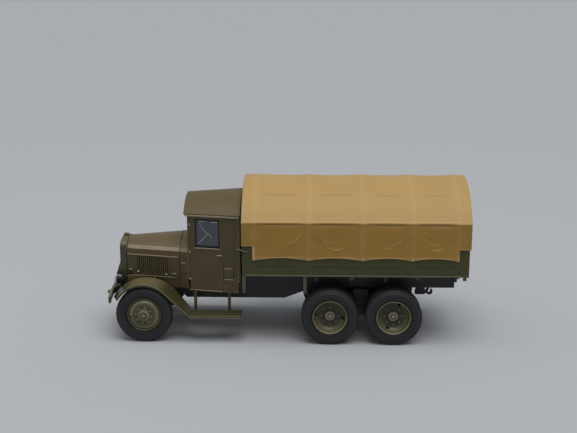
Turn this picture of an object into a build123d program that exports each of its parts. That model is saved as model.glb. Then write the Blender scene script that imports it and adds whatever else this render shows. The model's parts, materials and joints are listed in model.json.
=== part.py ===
from build123d import *
from math import atan2, cos, degrees, radians, sin, sqrt
import os

# Collector's scale model (1:43) of a three-axle military cargo truck, in millimetres of the model.
# +X is forward, +Y the truck's left, +Z up. The origin is on the ground under the middle of the length.
# Lengths called "back" are measured rearward from the front axle; negative ones lie ahead of it.

# Wheels and axles
wheelbase = 83.6  # front axle to middle axle
bogie_tyre_gap = 2.8  # between the tyres of the middle and rear axles
tyre_radius = 12.8
tyre_width = 4.4
tyre_shoulder = 1.3
tyre_bead_inset = 0.5  # each side of the tyre's foot, where it sits on the rim
tyre_crown_inset = 0.8  # each side of the tread
rim_radius = 8.1
rim_wall = 0.7
front_tyre_face_y = 25.4  # outer face of the front tyres
rear_tyre_face_y = 27.0  # outer face of the outer twin tyres
twin_gap = 0.7
hub_radius = 2.1
hand_hole_radius = 0.85
hand_hole_circle_radius = 5.4
hand_hole_count = 2
axle_pin_radius = 0.75
axle_clearance = 0.06
hub_gap = 0.3  # turning hub to the fixed axle end
beam_height = 3.2
beam_depth = 2.8
beam_flange = 0.7
beam_recess = 0.45
knuckle_height = 5.2
knuckle_radius = 1.6
knuckle_inset = 2.3
axle_tube_radius = 1.9
drum_radius = 5.2
banjo_radius = 4.2
banjo_half_ridge = 1.5
leaf_thickness = 0.45
spring_width = 2.2
front_spring_leaves = 5
front_spring_half_span = 9.8
front_spring_bow = 2.6
spring_pad = 0.5
spring_y_rear = 13.7
spring_seat_gap = 0.1  # driven axle tubes to the leaves above and below them
spring_end_drop = 0.35
upper_spring_bow = 2.6
lower_spring_bow = 1.2

# Frame
rail_spread = 10.2  # centre of each rail from the middle plane
rail_bottom_z = 22.4
rail_height = 4.6
rail_width = 2.4
rail_wall = 0.8
horn_gap = 0.1  # horns to the bumper's back face
rail_overhang = 28.6  # rear axle to the ends of the rails
horn_root_back = -10.4
horn_knee_back = -12.6
horn_knee_z = 23.2
horn_bottom_z = 18.2
horn_height = 2.9
belly_front_back = 17.6
belly_rear_back = 63.0
belly_front_run = 4.6  # over which the rails deepen, in front and behind
belly_rear_run = 14.0
belly_bottom_z = 17.0
crossmember_length = 2.2
front_crossmember_back = -8.2
cab_crossmember_back = 40.0
bogie_crossmember_lead = 9.6  # ahead of the middle axle
hitch_crossmember_overhang = 15.0  # behind the rear axle
end_crossmember_overhang = 27.4
crossmember_setback = 0.3
boss_radius = 1.6  # bosses for the screws of a display base
boss_hole_radius = 0.8
boss_hole_depth = 5.0
rear_boss_y = 5.2
hitch_bottom_z = 15.9
engine_front_back = -6.4
engine_rear_back = 13.6
engine_bottom_z = 20.6
engine_top_z = 35.4
engine_width = 9.0
engine_bearer_width = 2.0
engine_bearer_height = 1.6
gearbox_bearer_width = 2.4
gearbox_bearer_height = 1.6
gearbox_bearer_drop = 1.2  # below the rails' lower flanges
gearbox_corner = 0.8
clutch_rear_back = 27.0
gearbox_rear_back = 36.0
transfer_front_back = 44.0
transfer_rear_back = 53.0
shaft_z = 19.6
shaft_radius = 0.8
shaft_joint_radius = 1.15  # half across the flats of each yoke
shaft_joint_length = 1.6

# Front end
bumper_front_back = -17.6  # front face of the bar at the middle plane
bumper_sweep = 1.6  # how far the bar's ends lie behind its middle
bumper_half_width = 24.4
bumper_height = 3.3
bumper_thickness = 1.1
bumper_bottom_z = 17.9
hook_reach = 1.6  # front tow hooks, measured ahead of the bar
hook_y = 12.0
hook_width = 1.0
apron_top_z = 33.4
apron_foot_back = -16.0
apron_foot_z = 24.6
apron_half_width = 8.9

# Radiator and bonnet
radiator_front_back = -13.1
radiator_depth = 3.1
radiator_bottom_z = 22.6
radiator_top_z = 43.4
radiator_half_width = 8.9
radiator_corner = 4.2
radiator_frame = 1.5
radiator_core_bottom_z = 25.0
radiator_core_top_z = 40.6
core_recess = 0.7
cap_radius = 1.2
bonnet_front_back = -9.8
bonnet_rear_back = 15.1
bonnet_front_half_width = 9.0
bonnet_rear_half_width = 14.6
bonnet_hinge_z = 37.2
bonnet_shoulder_z = 39.6
bonnet_front_top_z = 43.5
bonnet_rear_top_z = 45.4
bonnet_side_bottom_z = 27.2
bonnet_apron_front_back = 4.6
bonnet_apron_bottom_z = 22.6
bonnet_bead_z = 27.3
bonnet_wall = 0.7
bead_radius = 0.25
louvre_count = 17
louvre_front_back = -5.2
louvre_rear_back = 10.0
louvre_bottom_z = 29.4
louvre_top_z = 36.1
louvre_depth = 0.35
cowl_gap = 0.25
cowl_rear_top_z = 46.0

# Cab
cab_front_back = 19.2
cab_rear_back = 43.3
cab_front_half_width = 15.9
cab_rear_half_width = 20.7
cab_bottom_z = 21.9
cab_wall = 0.9
floor_top_z = 28.6
door_rear_back = 35.5
door_gap = 0.15
window_front_back = 22.9
window_rear_back = 33.9
window_height = 12.6
window_top_drop = 2.2  # below the roof's eave
window_corner = 0.6
glass_thickness = 0.4
windscreen_half = 13.6
windscreen_post = 1.0
windscreen_height = 7.8
rear_window_width = 12.0
rear_window_height = 6.5
rear_window_top_drop = 4.4
roof_front_back = 17.6
roof_overhang = 0.6
roof_eave_z = 57.4
roof_front_rise = 6.8
roof_rear_rise = 8.4
roof_bead = 0.25  # drip bead, proud of the roof's edge
roof_bead_height = 0.5
roof_thickness = 0.9
seat_length = 9.5
seat_height = 8.0
seat_back_height = 12.0
steering_back = 27.8
steering_y = 8.0
steering_z = 43.5
steering_tilt = 40.0
steering_wheel_radius = 4.6
steering_rim_radius = 0.35

# Wings and running boards
wing_inner_y = 14.9
wing_outer_y = 26.0
wing_clearance = 0.6  # tyre to the underside of the wing
wing_thickness = 0.5
wing_inner_radius = 17.6
wing_inner_top_z = 27.4
wing_outer_front_angle = 150.0
wing_inner_front_angle = 152.0
wing_rear_angle = 42.0
wing_arm_backs = (-6.0, 3.0)
wing_arm_width = 1.4
wing_arm_depth = 0.8
board_front_back = 20.2
board_rear_back = 43.7
board_inner_y = 17.3
board_outer_y = 26.5
board_top_z = 12.9
board_thickness = 1.1
board_hanger_backs = (22.6, 38.0)
board_hanger_width = 1.3
board_strips = 5
hanger_top_z = 21.6

# Headlights
headlight_y = 13.0
headlight_z = 26.5
headlight_radius = 2.75
headlight_front_back = -14.4
headlight_depth = 4.2
headlight_band = 0.8
headlight_waist_depth = 2.8
headlight_waist_radius = 2.0
headlight_back_radius = 0.8
headlight_arm_z = 21.4

# Load bed
bed_front_back = 44.7
bed_overhang = 32.4  # rear axle to the tailgate's rear face
bed_half_width = 27.2
bed_bottom_z = 32.1
bed_side_top_z = 47.6
bed_board = 1.1
bed_floor_thickness = 1.2
plank_joint_z = 36.4
plank_groove = 0.25
post_width = 2.3
post_proud = 0.08
corner_post_width = 5.6
side_bead_height = 0.8  # bead along the foot of each side
side_bead_proud = 0.3
side_hinge_backs = (93.2, 122.0)
side_hinge_width = 1.3
side_hinge_drop = 1.1
strut_backs = (45.4, 72.4)
strut_bottom_z = 24.3
bearer_count = 7
bearer_width = 1.6
sill_height = 2.6
strut_top_width = 1.35
strut_foot_width = 1.15

# Canvas tilt
tilt_overlap = 0.5  # past the bed in front and behind
tilt_stand_off = 0.6  # outside the drop sides
tilt_wall = 0.4
tilt_end_skirt_z = 45.9
tilt_hem_z = 40.4
tilt_eave_z = 56.0
tilt_crown_z = 72.4
tilt_end_strip = 5.0
bow_backs = (50.0, 74.0, 97.6, 119.6, 139.4)
bow_width = 1.4
bow_depth = 0.8
bow_gap = 0.1

# Stations that follow from the wheelbase and the tyres, and the tilt's size from that of the bed
bogie_spacing = 2 * tyre_radius + bogie_tyre_gap
rear_axle_back = wheelbase + bogie_spacing
rail_rear_back = rear_axle_back + rail_overhang
bed_rear_back = rear_axle_back + bed_overhang
tilt_front_back = bed_front_back - tilt_overlap
tilt_rear_back = bed_rear_back + tilt_overlap
tilt_half_width = bed_half_width + tilt_stand_off
crossmember_backs = (
    front_crossmember_back,
    cab_crossmember_back,
    wheelbase - bogie_crossmember_lead,
    rear_axle_back,
    rear_axle_back + hitch_crossmember_overhang,
    rear_axle_back + end_crossmember_overhang,
)

# Where the front axle stands, with the origin under the middle of the whole length
model_front_back = bumper_front_back - hook_reach
front_axle_x = (tilt_rear_back + model_front_back) / 2
middle_axle_x = front_axle_x - wheelbase
rear_axle_x = middle_axle_x - bogie_spacing
rail_top_z = rail_bottom_z + rail_height
rail_outer_y = rail_spread + rail_width / 2
rail_inner_y = rail_spread - rail_width / 2


os.makedirs("parts", exist_ok=True)


def ahead(back):
    """X of a station measured rearward from the front axle."""
    return front_axle_x - back


def side_plane(x, y, z=0):
    """Plane facing right, with X along and Z up."""
    return Plane(origin=(x, y, z), x_dir=(1, 0, 0), z_dir=(0, -1, 0))


def cross_plane(x, z=0):
    """Plane facing forward, with Y across and Z up."""
    return Plane(origin=(x, 0, z), x_dir=(0, 1, 0), z_dir=(1, 0, 0))


def finish(builder, label):
    builder.part.label = label
    export_step(builder.part, f"parts/{label}.step")


def cab_half_width(back):
    """Half-width of the cab, which widens evenly towards the bed."""
    share = (back - cab_front_back) / (cab_rear_back - cab_front_back)
    return cab_front_half_width + share * (cab_rear_half_width - cab_front_half_width)


# The bumper's bow, and the horns that end just behind it
bar_radius = (bumper_half_width**2 + bumper_sweep**2) / (2 * bumper_sweep)
bar_centre_x = ahead(bumper_front_back) - bar_radius
bar_angle = degrees(atan2(bumper_half_width, bar_radius - bumper_sweep))


def bar_face_x(y, behind=0):
    """X of the bumper's front face at a given Y, or of the arc that lies behind it."""
    return bar_centre_x + sqrt((bar_radius - behind) ** 2 - y**2)


horn_front_x = bar_face_x(rail_outer_y, bumper_thickness) - horn_gap

# Steel axle pins, each turning with its own wheels
front_pin_half = front_tyre_face_y - 1.0
rear_pin_half = rear_tyre_face_y - 4.2
pins = (
    ("front_axle_pin", front_axle_x, front_pin_half),
    ("middle_axle_pin", middle_axle_x, rear_pin_half),
    ("rear_axle_pin", rear_axle_x, rear_pin_half),
)
for label, x, half in pins:
    with BuildPart() as pin:
        with BuildSketch(side_plane(x, half, tyre_radius)):
            Circle(axle_pin_radius)
        extrude(amount=2 * half)
    finish(pin, label)


def tyre_set(label, x, faces):
    """Tyres whose outer faces stand at the given Y, and the same ones on the right."""
    with BuildPart() as tyres:
        for outer_y in faces:
            inner_y = outer_y - tyre_width
            with BuildSketch(cross_plane(x, tyre_radius)):
                with BuildLine():
                    Polyline(
                        (inner_y + tyre_bead_inset, rim_radius),
                        (outer_y - tyre_bead_inset, rim_radius),
                        (outer_y, tyre_radius - tyre_shoulder),
                        (outer_y - tyre_crown_inset, tyre_radius),
                        (inner_y + tyre_crown_inset, tyre_radius),
                        (inner_y, tyre_radius - tyre_shoulder),
                        close=True,
                    )
                make_face()
            revolve(axis=Axis((x, 0, tyre_radius), (0, 1, 0)))
        mirror(about=Plane.XZ)
    finish(tyres, label)


twin_faces = (rear_tyre_face_y, rear_tyre_face_y - tyre_width - twin_gap)
tyre_set("front_tyres", front_axle_x, (front_tyre_face_y,))
tyre_set("middle_tyres", middle_axle_x, twin_faces)
tyre_set("rear_tyres", rear_axle_x, twin_faces)

# Front wheels: a domed disc in one rim, with a raised hub
front_mid_y = front_tyre_face_y - tyre_width / 2
rim_half = tyre_width / 2 - 0.35
with BuildPart() as front_wheels:
    with BuildSketch(cross_plane(front_axle_x, tyre_radius)):
        with BuildLine():
            Polyline(
                (front_mid_y - 1.2, 0),
                (front_mid_y - 1.2, hub_radius + 0.4),
                (front_mid_y - 0.4, rim_radius - rim_wall),
                (front_mid_y - rim_half, rim_radius - rim_wall),
                (front_mid_y - rim_half, rim_radius),
                (front_mid_y + rim_half, rim_radius),
                (front_mid_y + rim_half - 0.8, rim_radius - rim_wall - 0.6),
                (front_mid_y + rim_half + 0.1, rim_radius - 2.2),
                (front_mid_y + rim_half + 0.4, hub_radius + 0.6),
                (front_mid_y + rim_half + 1.1, hub_radius - 0.3),
                (front_mid_y + rim_half + 1.7, hub_radius - 1.2),
                (front_mid_y + rim_half + 1.7, 0),
                close=True,
            )
        make_face()
    revolve(axis=Axis((front_axle_x, 0, tyre_radius), (0, 1, 0)))
    with BuildSketch(side_plane(front_axle_x, 0, tyre_radius)):
        Circle(axle_pin_radius)
    extrude(amount=-front_pin_half, mode=Mode.SUBTRACT)
    mirror(about=Plane.XZ)
finish(front_wheels, "front_wheels")


def twin_wheels(x, label):
    """Back-to-back dished discs carrying two rims a side, pressed on the ends of one axle pin."""
    outer_y = rear_tyre_face_y - 0.35
    joint_y = rear_tyre_face_y - tyre_width - twin_gap / 2
    inner_y = rear_tyre_face_y - 2 * tyre_width - twin_gap + 0.35
    bore_end = rear_pin_half
    with BuildPart() as wheels:
        with BuildSketch(cross_plane(x, tyre_radius)):
            with BuildLine():
                Polyline(
                    (inner_y, rim_radius - rim_wall),
                    (inner_y, rim_radius),
                    (outer_y, rim_radius),
                    (outer_y - 0.4, rim_radius - rim_wall),
                    (joint_y + 2.6, rim_radius - rim_wall - 0.6),
                    (joint_y + 0.7, rim_radius - 3.2),
                    (joint_y + 0.7, hub_radius),
                    (joint_y + 2.6, hub_radius - 0.5),
                    (joint_y + 2.6, 0),
                    (joint_y - 2.4, 0),
                    (joint_y - 2.4, hub_radius),
                    (joint_y - 0.7, hub_radius + 0.4),
                    (joint_y - 0.7, rim_radius - rim_wall),
                    close=True,
                )
            make_face()
        revolve(axis=Axis((x, 0, tyre_radius), (0, 1, 0)))
        with BuildSketch(side_plane(x, joint_y - 1.5, tyre_radius)):
            with PolarLocations(hand_hole_circle_radius, hand_hole_count, start_angle=20):
                Circle(hand_hole_radius)
        extrude(amount=-5, mode=Mode.SUBTRACT)
        with BuildSketch(side_plane(x, 0, tyre_radius)):
            Circle(axle_pin_radius)
        extrude(amount=-bore_end, mode=Mode.SUBTRACT)
        mirror(about=Plane.XZ)
    finish(wheels, label)


twin_wheels(middle_axle_x, "middle_wheels")
twin_wheels(rear_axle_x, "rear_wheels")

# Frame rails: channels open towards the middle, deeper under the cab, with dropped front horns
rail_outline = [
    (horn_front_x, horn_bottom_z),
    (horn_front_x, horn_bottom_z + horn_height),
    (ahead(horn_knee_back), horn_knee_z),
    (ahead(horn_root_back), rail_top_z),
    (ahead(rail_rear_back), rail_top_z),
    (ahead(rail_rear_back), rail_bottom_z),
    (ahead(belly_rear_back + belly_rear_run), rail_bottom_z),
    (ahead(belly_rear_back), belly_bottom_z),
    (ahead(belly_front_back), belly_bottom_z),
    (ahead(belly_front_back - belly_front_run), rail_bottom_z),
    (ahead(horn_root_back), rail_bottom_z),
]
with BuildPart() as frame_rails:
    with BuildSketch(side_plane(0, rail_outer_y)):
        with BuildLine():
            Polyline(*rail_outline, close=True)
        make_face()
    extrude(amount=rail_width)
    with BuildSketch(side_plane(0, rail_outer_y - rail_wall)):
        with BuildLine():
            Polyline(*rail_outline, close=True)
            offset(amount=-rail_wall)
        make_face()
    extrude(amount=rail_width, mode=Mode.SUBTRACT)
    mirror(about=Plane.XZ)
finish(frame_rails, "frame_rails")

with BuildPart() as frame_crossmembers:
    for back in crossmember_backs:
        with BuildSketch(cross_plane(ahead(back + crossmember_length / 2))):
            with Locations((0, rail_bottom_z + rail_height / 2)):
                Rectangle(2 * rail_inner_y, rail_height - 2 * crossmember_setback)
        extrude(amount=crossmember_length)
        with BuildSketch(cross_plane(ahead(back + crossmember_length / 2))):
            with Locations((0, rail_bottom_z + rail_height / 2)):
                Rectangle(2 * rail_inner_y - 1.2, rail_height - 2 * crossmember_setback - 1.6)
        extrude(amount=crossmember_length - rail_wall, mode=Mode.SUBTRACT)
    boss_places = [
        (ahead(crossmember_backs[0]), 0),
        (ahead(crossmember_backs[2]), rear_boss_y),
        (ahead(crossmember_backs[2]), -rear_boss_y),
    ]
    with BuildSketch(Plane.XY.offset(belly_bottom_z)):
        with Locations(*boss_places):
            Circle(boss_radius)
    extrude(amount=rail_bottom_z + rail_height / 2 - belly_bottom_z)
    with BuildSketch(Plane.XY.offset(belly_bottom_z)):
        with Locations(*boss_places):
            Circle(boss_hole_radius)
    extrude(amount=boss_hole_depth, mode=Mode.SUBTRACT)
finish(frame_crossmembers, "frame_crossmembers")

# Front bumper: one bowed bar across the horns
with BuildPart() as front_bumper:
    with BuildSketch(Plane.XY.offset(bumper_bottom_z)):
        with BuildLine():
            front = CenterArc((bar_centre_x, 0), bar_radius, -bar_angle, 2 * bar_angle)
            back_arc = CenterArc((bar_centre_x, 0), bar_radius - bumper_thickness, -bar_angle, 2 * bar_angle)
            Line(front @ 0, back_arc @ 0)
            Line(front @ 1, back_arc @ 1)
        make_face()
    extrude(amount=bumper_height)
    fillet(front_bumper.edges().filter_by(Axis.Z), bumper_thickness * 0.45)
finish(front_bumper, "front_bumper")


# Tow hooks: two on the bumper and one below the last crossmembers
with BuildPart() as tow_hooks:
    hook_z = bumper_bottom_z + bumper_height / 2
    root_x = bar_face_x(hook_y - hook_width / 2)
    with BuildSketch(side_plane(root_x, hook_y + hook_width / 2, hook_z)):
        with Locations((hook_reach / 2, 0)):
            Circle(hook_reach / 2)
        with Locations((0.5, -0.2)):
            Rectangle(1.0, 1.3)
        with Locations((hook_reach / 2, 0.1)):
            Circle(hook_reach / 5, mode=Mode.SUBTRACT)
    extrude(amount=hook_width)
    mirror(about=Plane.XZ)
    hitch_x = ahead(crossmember_backs[-2])
    with BuildSketch(side_plane(hitch_x, hook_width)):
        with BuildLine():
            Polyline(
                (1.1, rail_bottom_z + crossmember_setback),
                (3.0, hitch_bottom_z + 1.6),
                (3.0, hitch_bottom_z),
                (-1.6, hitch_bottom_z),
                (-1.6, hitch_bottom_z + 2.4),
                (-1.1, rail_bottom_z + crossmember_setback),
                close=True,
            )
        make_face()
        with Locations((-3.6, hitch_bottom_z + 1.5)):
            Circle(1.6)
            Circle(0.7, mode=Mode.SUBTRACT)
        with Locations((-2.0, hitch_bottom_z + 1.2)):
            Rectangle(1.2, 1.2)
        with Locations((-4.0, hitch_bottom_z + 2.9)):
            Rectangle(1.1, 1.6, mode=Mode.SUBTRACT)
    extrude(amount=2 * hook_width)
finish(tow_hooks, "tow_hooks")

# Engine block on its bearer arms, plain because the bonnet closes it in
with BuildPart() as engine_block:
    with BuildSketch(Plane.XY.offset(engine_bottom_z)):
        with Locations((ahead((engine_front_back + engine_rear_back) / 2), 0)):
            Rectangle(engine_rear_back - engine_front_back, engine_width)
    extrude(amount=engine_top_z - engine_bottom_z)
    with BuildSketch(Plane.XY.offset(rail_bottom_z)):
        with Locations((ahead(engine_front_back + 3), 0), (ahead(engine_rear_back - 3), 0)):
            Rectangle(engine_bearer_width, 2 * rail_inner_y)
    extrude(amount=engine_bearer_height)
finish(engine_block, "engine_block")

# Gearbox and transfer box behind the engine, on bearers between the rails
gearbox_cases = (  # front and rear stations, width, bottom and top heights
    (engine_rear_back, clutch_rear_back, 6.4, 19.0, 26.4),
    (clutch_rear_back, gearbox_rear_back, 5.0, 18.6, 25.0),
    (transfer_front_back, transfer_rear_back, 6.0, 17.4, 25.6),
)
with BuildPart() as gearbox:
    for front_back, rear_back, width, bottom, top in gearbox_cases:
        with BuildSketch(Plane.XY.offset(bottom)):
            with Locations((ahead((front_back + rear_back) / 2), 0)):
                RectangleRounded(rear_back - front_back, width, gearbox_corner)
        extrude(amount=top - bottom)
    with BuildSketch(cross_plane(ahead(transfer_front_back + gearbox_corner), shaft_z)):
        Circle(shaft_radius)
    extrude(amount=transfer_front_back - gearbox_rear_back + 2 * gearbox_corner)
    with BuildSketch(Plane.XY.offset(rail_bottom_z - gearbox_bearer_drop)):
        with Locations((ahead((transfer_front_back + transfer_rear_back) / 2), 0)):
            Rectangle(gearbox_bearer_width, 2 * rail_inner_y)
        with Locations((ahead((engine_rear_back + clutch_rear_back) / 2 + 1.7), 0)):
            Rectangle(gearbox_bearer_width, 2 * rail_inner_y)
    extrude(amount=gearbox_bearer_height)
finish(gearbox, "gearbox")

# Propeller shafts to the two driven axles, each with a joint near both ends
with BuildPart() as drive_shafts:
    for start_back, end_back in (
        (transfer_rear_back, wheelbase - banjo_radius),
        (wheelbase + banjo_radius, rear_axle_back - banjo_radius),
    ):
        with BuildSketch(cross_plane(ahead(end_back), shaft_z)):
            Circle(shaft_radius)
        extrude(amount=end_back - start_back)
        for joint_back in (start_back + shaft_joint_length, end_back - shaft_joint_length):
            with BuildSketch(cross_plane(ahead(joint_back) - shaft_joint_length / 2, shaft_z)):
                Rectangle(2 * shaft_joint_radius, 2 * shaft_joint_radius, rotation=45)
            extrude(amount=shaft_joint_length)
finish(drive_shafts, "drive_shafts")

# Front axle: an I-beam dropped between spring pads, with knuckles bored for the pin
knuckle_y = front_tyre_face_y - tyre_width / 2 - 1.2 - hub_gap
with BuildPart() as front_axle_beam:
    with BuildSketch(side_plane(front_axle_x, knuckle_y, tyre_radius)):
        Rectangle(beam_depth, beam_height)
    extrude(amount=2 * knuckle_y)
    web_half = knuckle_y - knuckle_inset - knuckle_radius
    with BuildSketch(side_plane(front_axle_x, web_half, tyre_radius)):
        with Locations((beam_depth / 2, 0), (-beam_depth / 2, 0)):
            Rectangle(2 * beam_recess, beam_height - 2 * beam_flange)
    extrude(amount=2 * web_half, mode=Mode.SUBTRACT)
    for side in (-1, 1):
        with BuildSketch(Plane.XY.offset(tyre_radius - knuckle_height / 2)):
            with Locations((front_axle_x, side * (knuckle_y - knuckle_inset))):
                Circle(knuckle_radius)
        extrude(amount=knuckle_height)
        with BuildSketch(Plane.XY.offset(tyre_radius)):
            with Locations((front_axle_x, side * rail_spread)):
                Rectangle(2 * spring_width, spring_width + 0.6)
        extrude(amount=beam_height / 2 + spring_pad)
    with BuildSketch(side_plane(front_axle_x, knuckle_y, tyre_radius)):
        Circle(axle_pin_radius + axle_clearance)
    extrude(amount=2 * knuckle_y, mode=Mode.SUBTRACT)
finish(front_axle_beam, "front_axle_beam")


def leaf_stack(centre_x, outer_y, eye_z, centre_z, half_span, leaves, up):
    """Bowed spring leaves, each shorter than the one before; up is the side that the short ones lie on."""
    sag = abs(eye_z - centre_z)
    bend = (half_span**2 + sag**2) / (2 * sag)
    toward_eyes = 1 if eye_z > centre_z else -1
    bow_z = centre_z + toward_eyes * bend
    with BuildPart() as stack:
        for leaf in range(leaves):
            reach = half_span * (1 - 0.17 * leaf)
            radii = [bend - toward_eyes * up * place * leaf_thickness for place in (leaf, leaf + 1)]
            ends = [bow_z - toward_eyes * sqrt(radius**2 - reach**2) for radius in radii]
            with BuildSketch(side_plane(centre_x, outer_y)):
                with BuildLine():
                    for radius, end_z in zip(radii, ends):
                        ThreePointArc((-reach, end_z), (0, bow_z - toward_eyes * radius), (reach, end_z))
                    Line((-reach, ends[0]), (-reach, ends[1]))
                    Line((reach, ends[0]), (reach, ends[1]))
                make_face()
            extrude(amount=spring_width)
    return stack.part


# Front springs: leaf packs on the beam's pads, hung from the rails by eyes and shackles
spring_seat_z = tyre_radius + beam_height / 2 + spring_pad
spring_outer_y = rail_spread + spring_width / 2
front_spring_eye_z = spring_seat_z + front_spring_leaves * leaf_thickness + front_spring_bow
front_pack = leaf_stack(
    front_axle_x,
    spring_outer_y,
    front_spring_eye_z,
    spring_seat_z + front_spring_leaves * leaf_thickness,
    front_spring_half_span,
    front_spring_leaves,
    -1,
)
with BuildPart() as front_springs:
    add(front_pack)
    for end in (-1, 1):
        with BuildSketch(side_plane(front_axle_x + end * front_spring_half_span, spring_outer_y)):
            with Locations((0, front_spring_eye_z)):
                Circle(0.75)
            with Locations((0, (front_spring_eye_z + rail_bottom_z) / 2)):
                Rectangle(1.1, rail_bottom_z - front_spring_eye_z)
        extrude(amount=spring_width)
    with BuildSketch(Plane.XY.offset(spring_seat_z)):
        with Locations((front_axle_x, rail_spread)):
            Rectangle(2.6, spring_width)
    extrude(amount=front_spring_leaves * leaf_thickness + 0.5)
    mirror(about=Plane.XZ)
finish(front_springs, "front_springs")

# Driven axles: bored tubes with a bowl for the final drive and a drum at each end
tube_half = rear_tyre_face_y - tyre_width - twin_gap / 2 - 2.4 - hub_gap
drum_inner_y = spring_y_rear + spring_width / 2 + 0.3
with BuildPart() as rear_axle_housings:
    for x in (middle_axle_x, rear_axle_x):
        with BuildSketch(cross_plane(x, tyre_radius)):
            with BuildLine():
                half = [
                    (banjo_half_ridge, banjo_radius),
                    (banjo_radius, axle_tube_radius),
                    (drum_inner_y, axle_tube_radius),
                    (drum_inner_y, drum_radius),
                    (tube_half - 0.5, drum_radius),
                    (tube_half, axle_tube_radius),
                    (tube_half, 0),
                ]
                Polyline(*half, *[(-y, r) for y, r in reversed(half)], close=True)
            make_face()
        revolve(axis=Axis((x, 0, tyre_radius), (0, 1, 0)))
        with BuildSketch(cross_plane(x - banjo_radius, shaft_z)):
            Circle(shaft_radius + 1.2)
        extrude(amount=2 * banjo_radius)
        with BuildSketch(Plane.XY.offset(tyre_radius + 1.2)):
            with Locations((x, 0)):
                Rectangle(5.0, 4.6)
        extrude(amount=shaft_z - tyre_radius)
        with BuildSketch(side_plane(x, tube_half, tyre_radius)):
            Circle(axle_pin_radius + axle_clearance)
        extrude(amount=2 * tube_half, mode=Mode.SUBTRACT)
finish(rear_axle_housings, "rear_axle_housings")

# Bogie springs: an upper and a lower leaf pack clamped to one trunnion block a side
bogie_x = (middle_axle_x + rear_axle_x) / 2
bogie_outer_y = spring_y_rear + spring_width / 2
bogie_packs = []
for toward, leaves, bow in ((1, 5, upper_spring_bow), (-1, 3, lower_spring_bow)):
    end_z = tyre_radius + toward * (axle_tube_radius + spring_seat_gap) - spring_end_drop
    half_span = bogie_spacing / 2 + 1.6
    bogie_packs.append(leaf_stack(bogie_x, bogie_outer_y, end_z, end_z + bow, half_span, leaves, toward))
with BuildPart() as bogie_springs:
    add(bogie_packs)
    with BuildSketch(side_plane(bogie_x, bogie_outer_y)):
        with BuildLine():
            Polyline(
                (-3.4, rail_bottom_z),
                (-2.2, tyre_radius - 2.4),
                (2.2, tyre_radius - 2.4),
                (3.4, rail_bottom_z),
                close=True,
            )
        make_face()
    extrude(amount=spring_width)
    with BuildSketch(side_plane(bogie_x, bogie_outer_y)):
        with Locations((0, (rail_bottom_z + tyre_radius + 4.4) / 2)):
            Rectangle(5.6, rail_bottom_z - tyre_radius - 4.4)
    extrude(amount=bogie_outer_y - rail_inner_y)
    with BuildSketch(side_plane(bogie_x, bogie_outer_y + 0.8, tyre_radius)):
        Circle(1.9)
    extrude(amount=spring_width)
    mirror(about=Plane.XZ)
finish(bogie_springs, "bogie_springs")

# Radiator: a shell with rounded shoulders, the core set back in it and a cap on top
with BuildPart() as radiator_shell:
    with BuildSketch(cross_plane(ahead(radiator_front_back + radiator_depth))):
        with BuildLine():
            Polyline(
                (-radiator_half_width, radiator_top_z - radiator_corner),
                (-radiator_half_width, radiator_bottom_z),
                (radiator_half_width, radiator_bottom_z),
                (radiator_half_width, radiator_top_z - radiator_corner),
            )
            ThreePointArc(
                (radiator_half_width, radiator_top_z - radiator_corner),
                (radiator_half_width - 0.9, radiator_top_z - 1.9),
                (radiator_half_width - 3.4, radiator_top_z - 0.7),
            )
            ThreePointArc(
                (radiator_half_width - 3.4, radiator_top_z - 0.7),
                (0, radiator_top_z),
                (3.4 - radiator_half_width, radiator_top_z - 0.7),
            )
            ThreePointArc(
                (3.4 - radiator_half_width, radiator_top_z - 0.7),
                (0.9 - radiator_half_width, radiator_top_z - 1.9),
                (-radiator_half_width, radiator_top_z - radiator_corner),
            )
        make_face()
    extrude(amount=radiator_depth)
    with BuildSketch(cross_plane(ahead(radiator_front_back + radiator_depth))):
        with Locations((0, (radiator_core_bottom_z + radiator_core_top_z) / 2)):
            RectangleRounded(
                2 * (radiator_half_width - radiator_frame), radiator_core_top_z - radiator_core_bottom_z, 1.6
            )
    extrude(amount=radiator_depth, mode=Mode.SUBTRACT)
    with BuildSketch(Plane.XY.offset(radiator_top_z - 0.4)):
        with Locations((ahead(radiator_front_back + radiator_depth / 2), 0)):
            Circle(cap_radius)
    extrude(amount=1.5)
finish(radiator_shell, "radiator_shell")

with BuildPart() as radiator_core:
    with BuildSketch(cross_plane(ahead(radiator_front_back + radiator_depth))):
        with Locations((0, (radiator_core_bottom_z + radiator_core_top_z) / 2)):
            RectangleRounded(
                2 * (radiator_half_width - radiator_frame), radiator_core_top_z - radiator_core_bottom_z, 1.6
            )
    extrude(amount=radiator_depth - core_recess)
finish(radiator_core, "radiator_core")

# Apron sloping from the radiator's foot to the bumper
with BuildPart() as front_apron:
    with BuildSketch(side_plane(0, apron_half_width)):
        with BuildLine():
            Polyline(
                (ahead(radiator_front_back), apron_top_z),
                (ahead(apron_foot_back), apron_foot_z),
                (ahead(apron_foot_back + 1.2), apron_foot_z),
                (ahead(radiator_front_back), apron_top_z - 4.0),
                close=True,
            )
        make_face()
    extrude(amount=2 * apron_half_width)
finish(front_apron, "front_apron")


def bonnet_outline(half_width, top_z, inset):
    """Right, shoulder and crown points of the bonnet's section, drawn in by the given inset."""
    shoulder = (half_width - 0.5 - inset, bonnet_shoulder_z - inset)
    return (half_width - inset, bonnet_hinge_z), shoulder, (0, top_z - inset)


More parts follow.
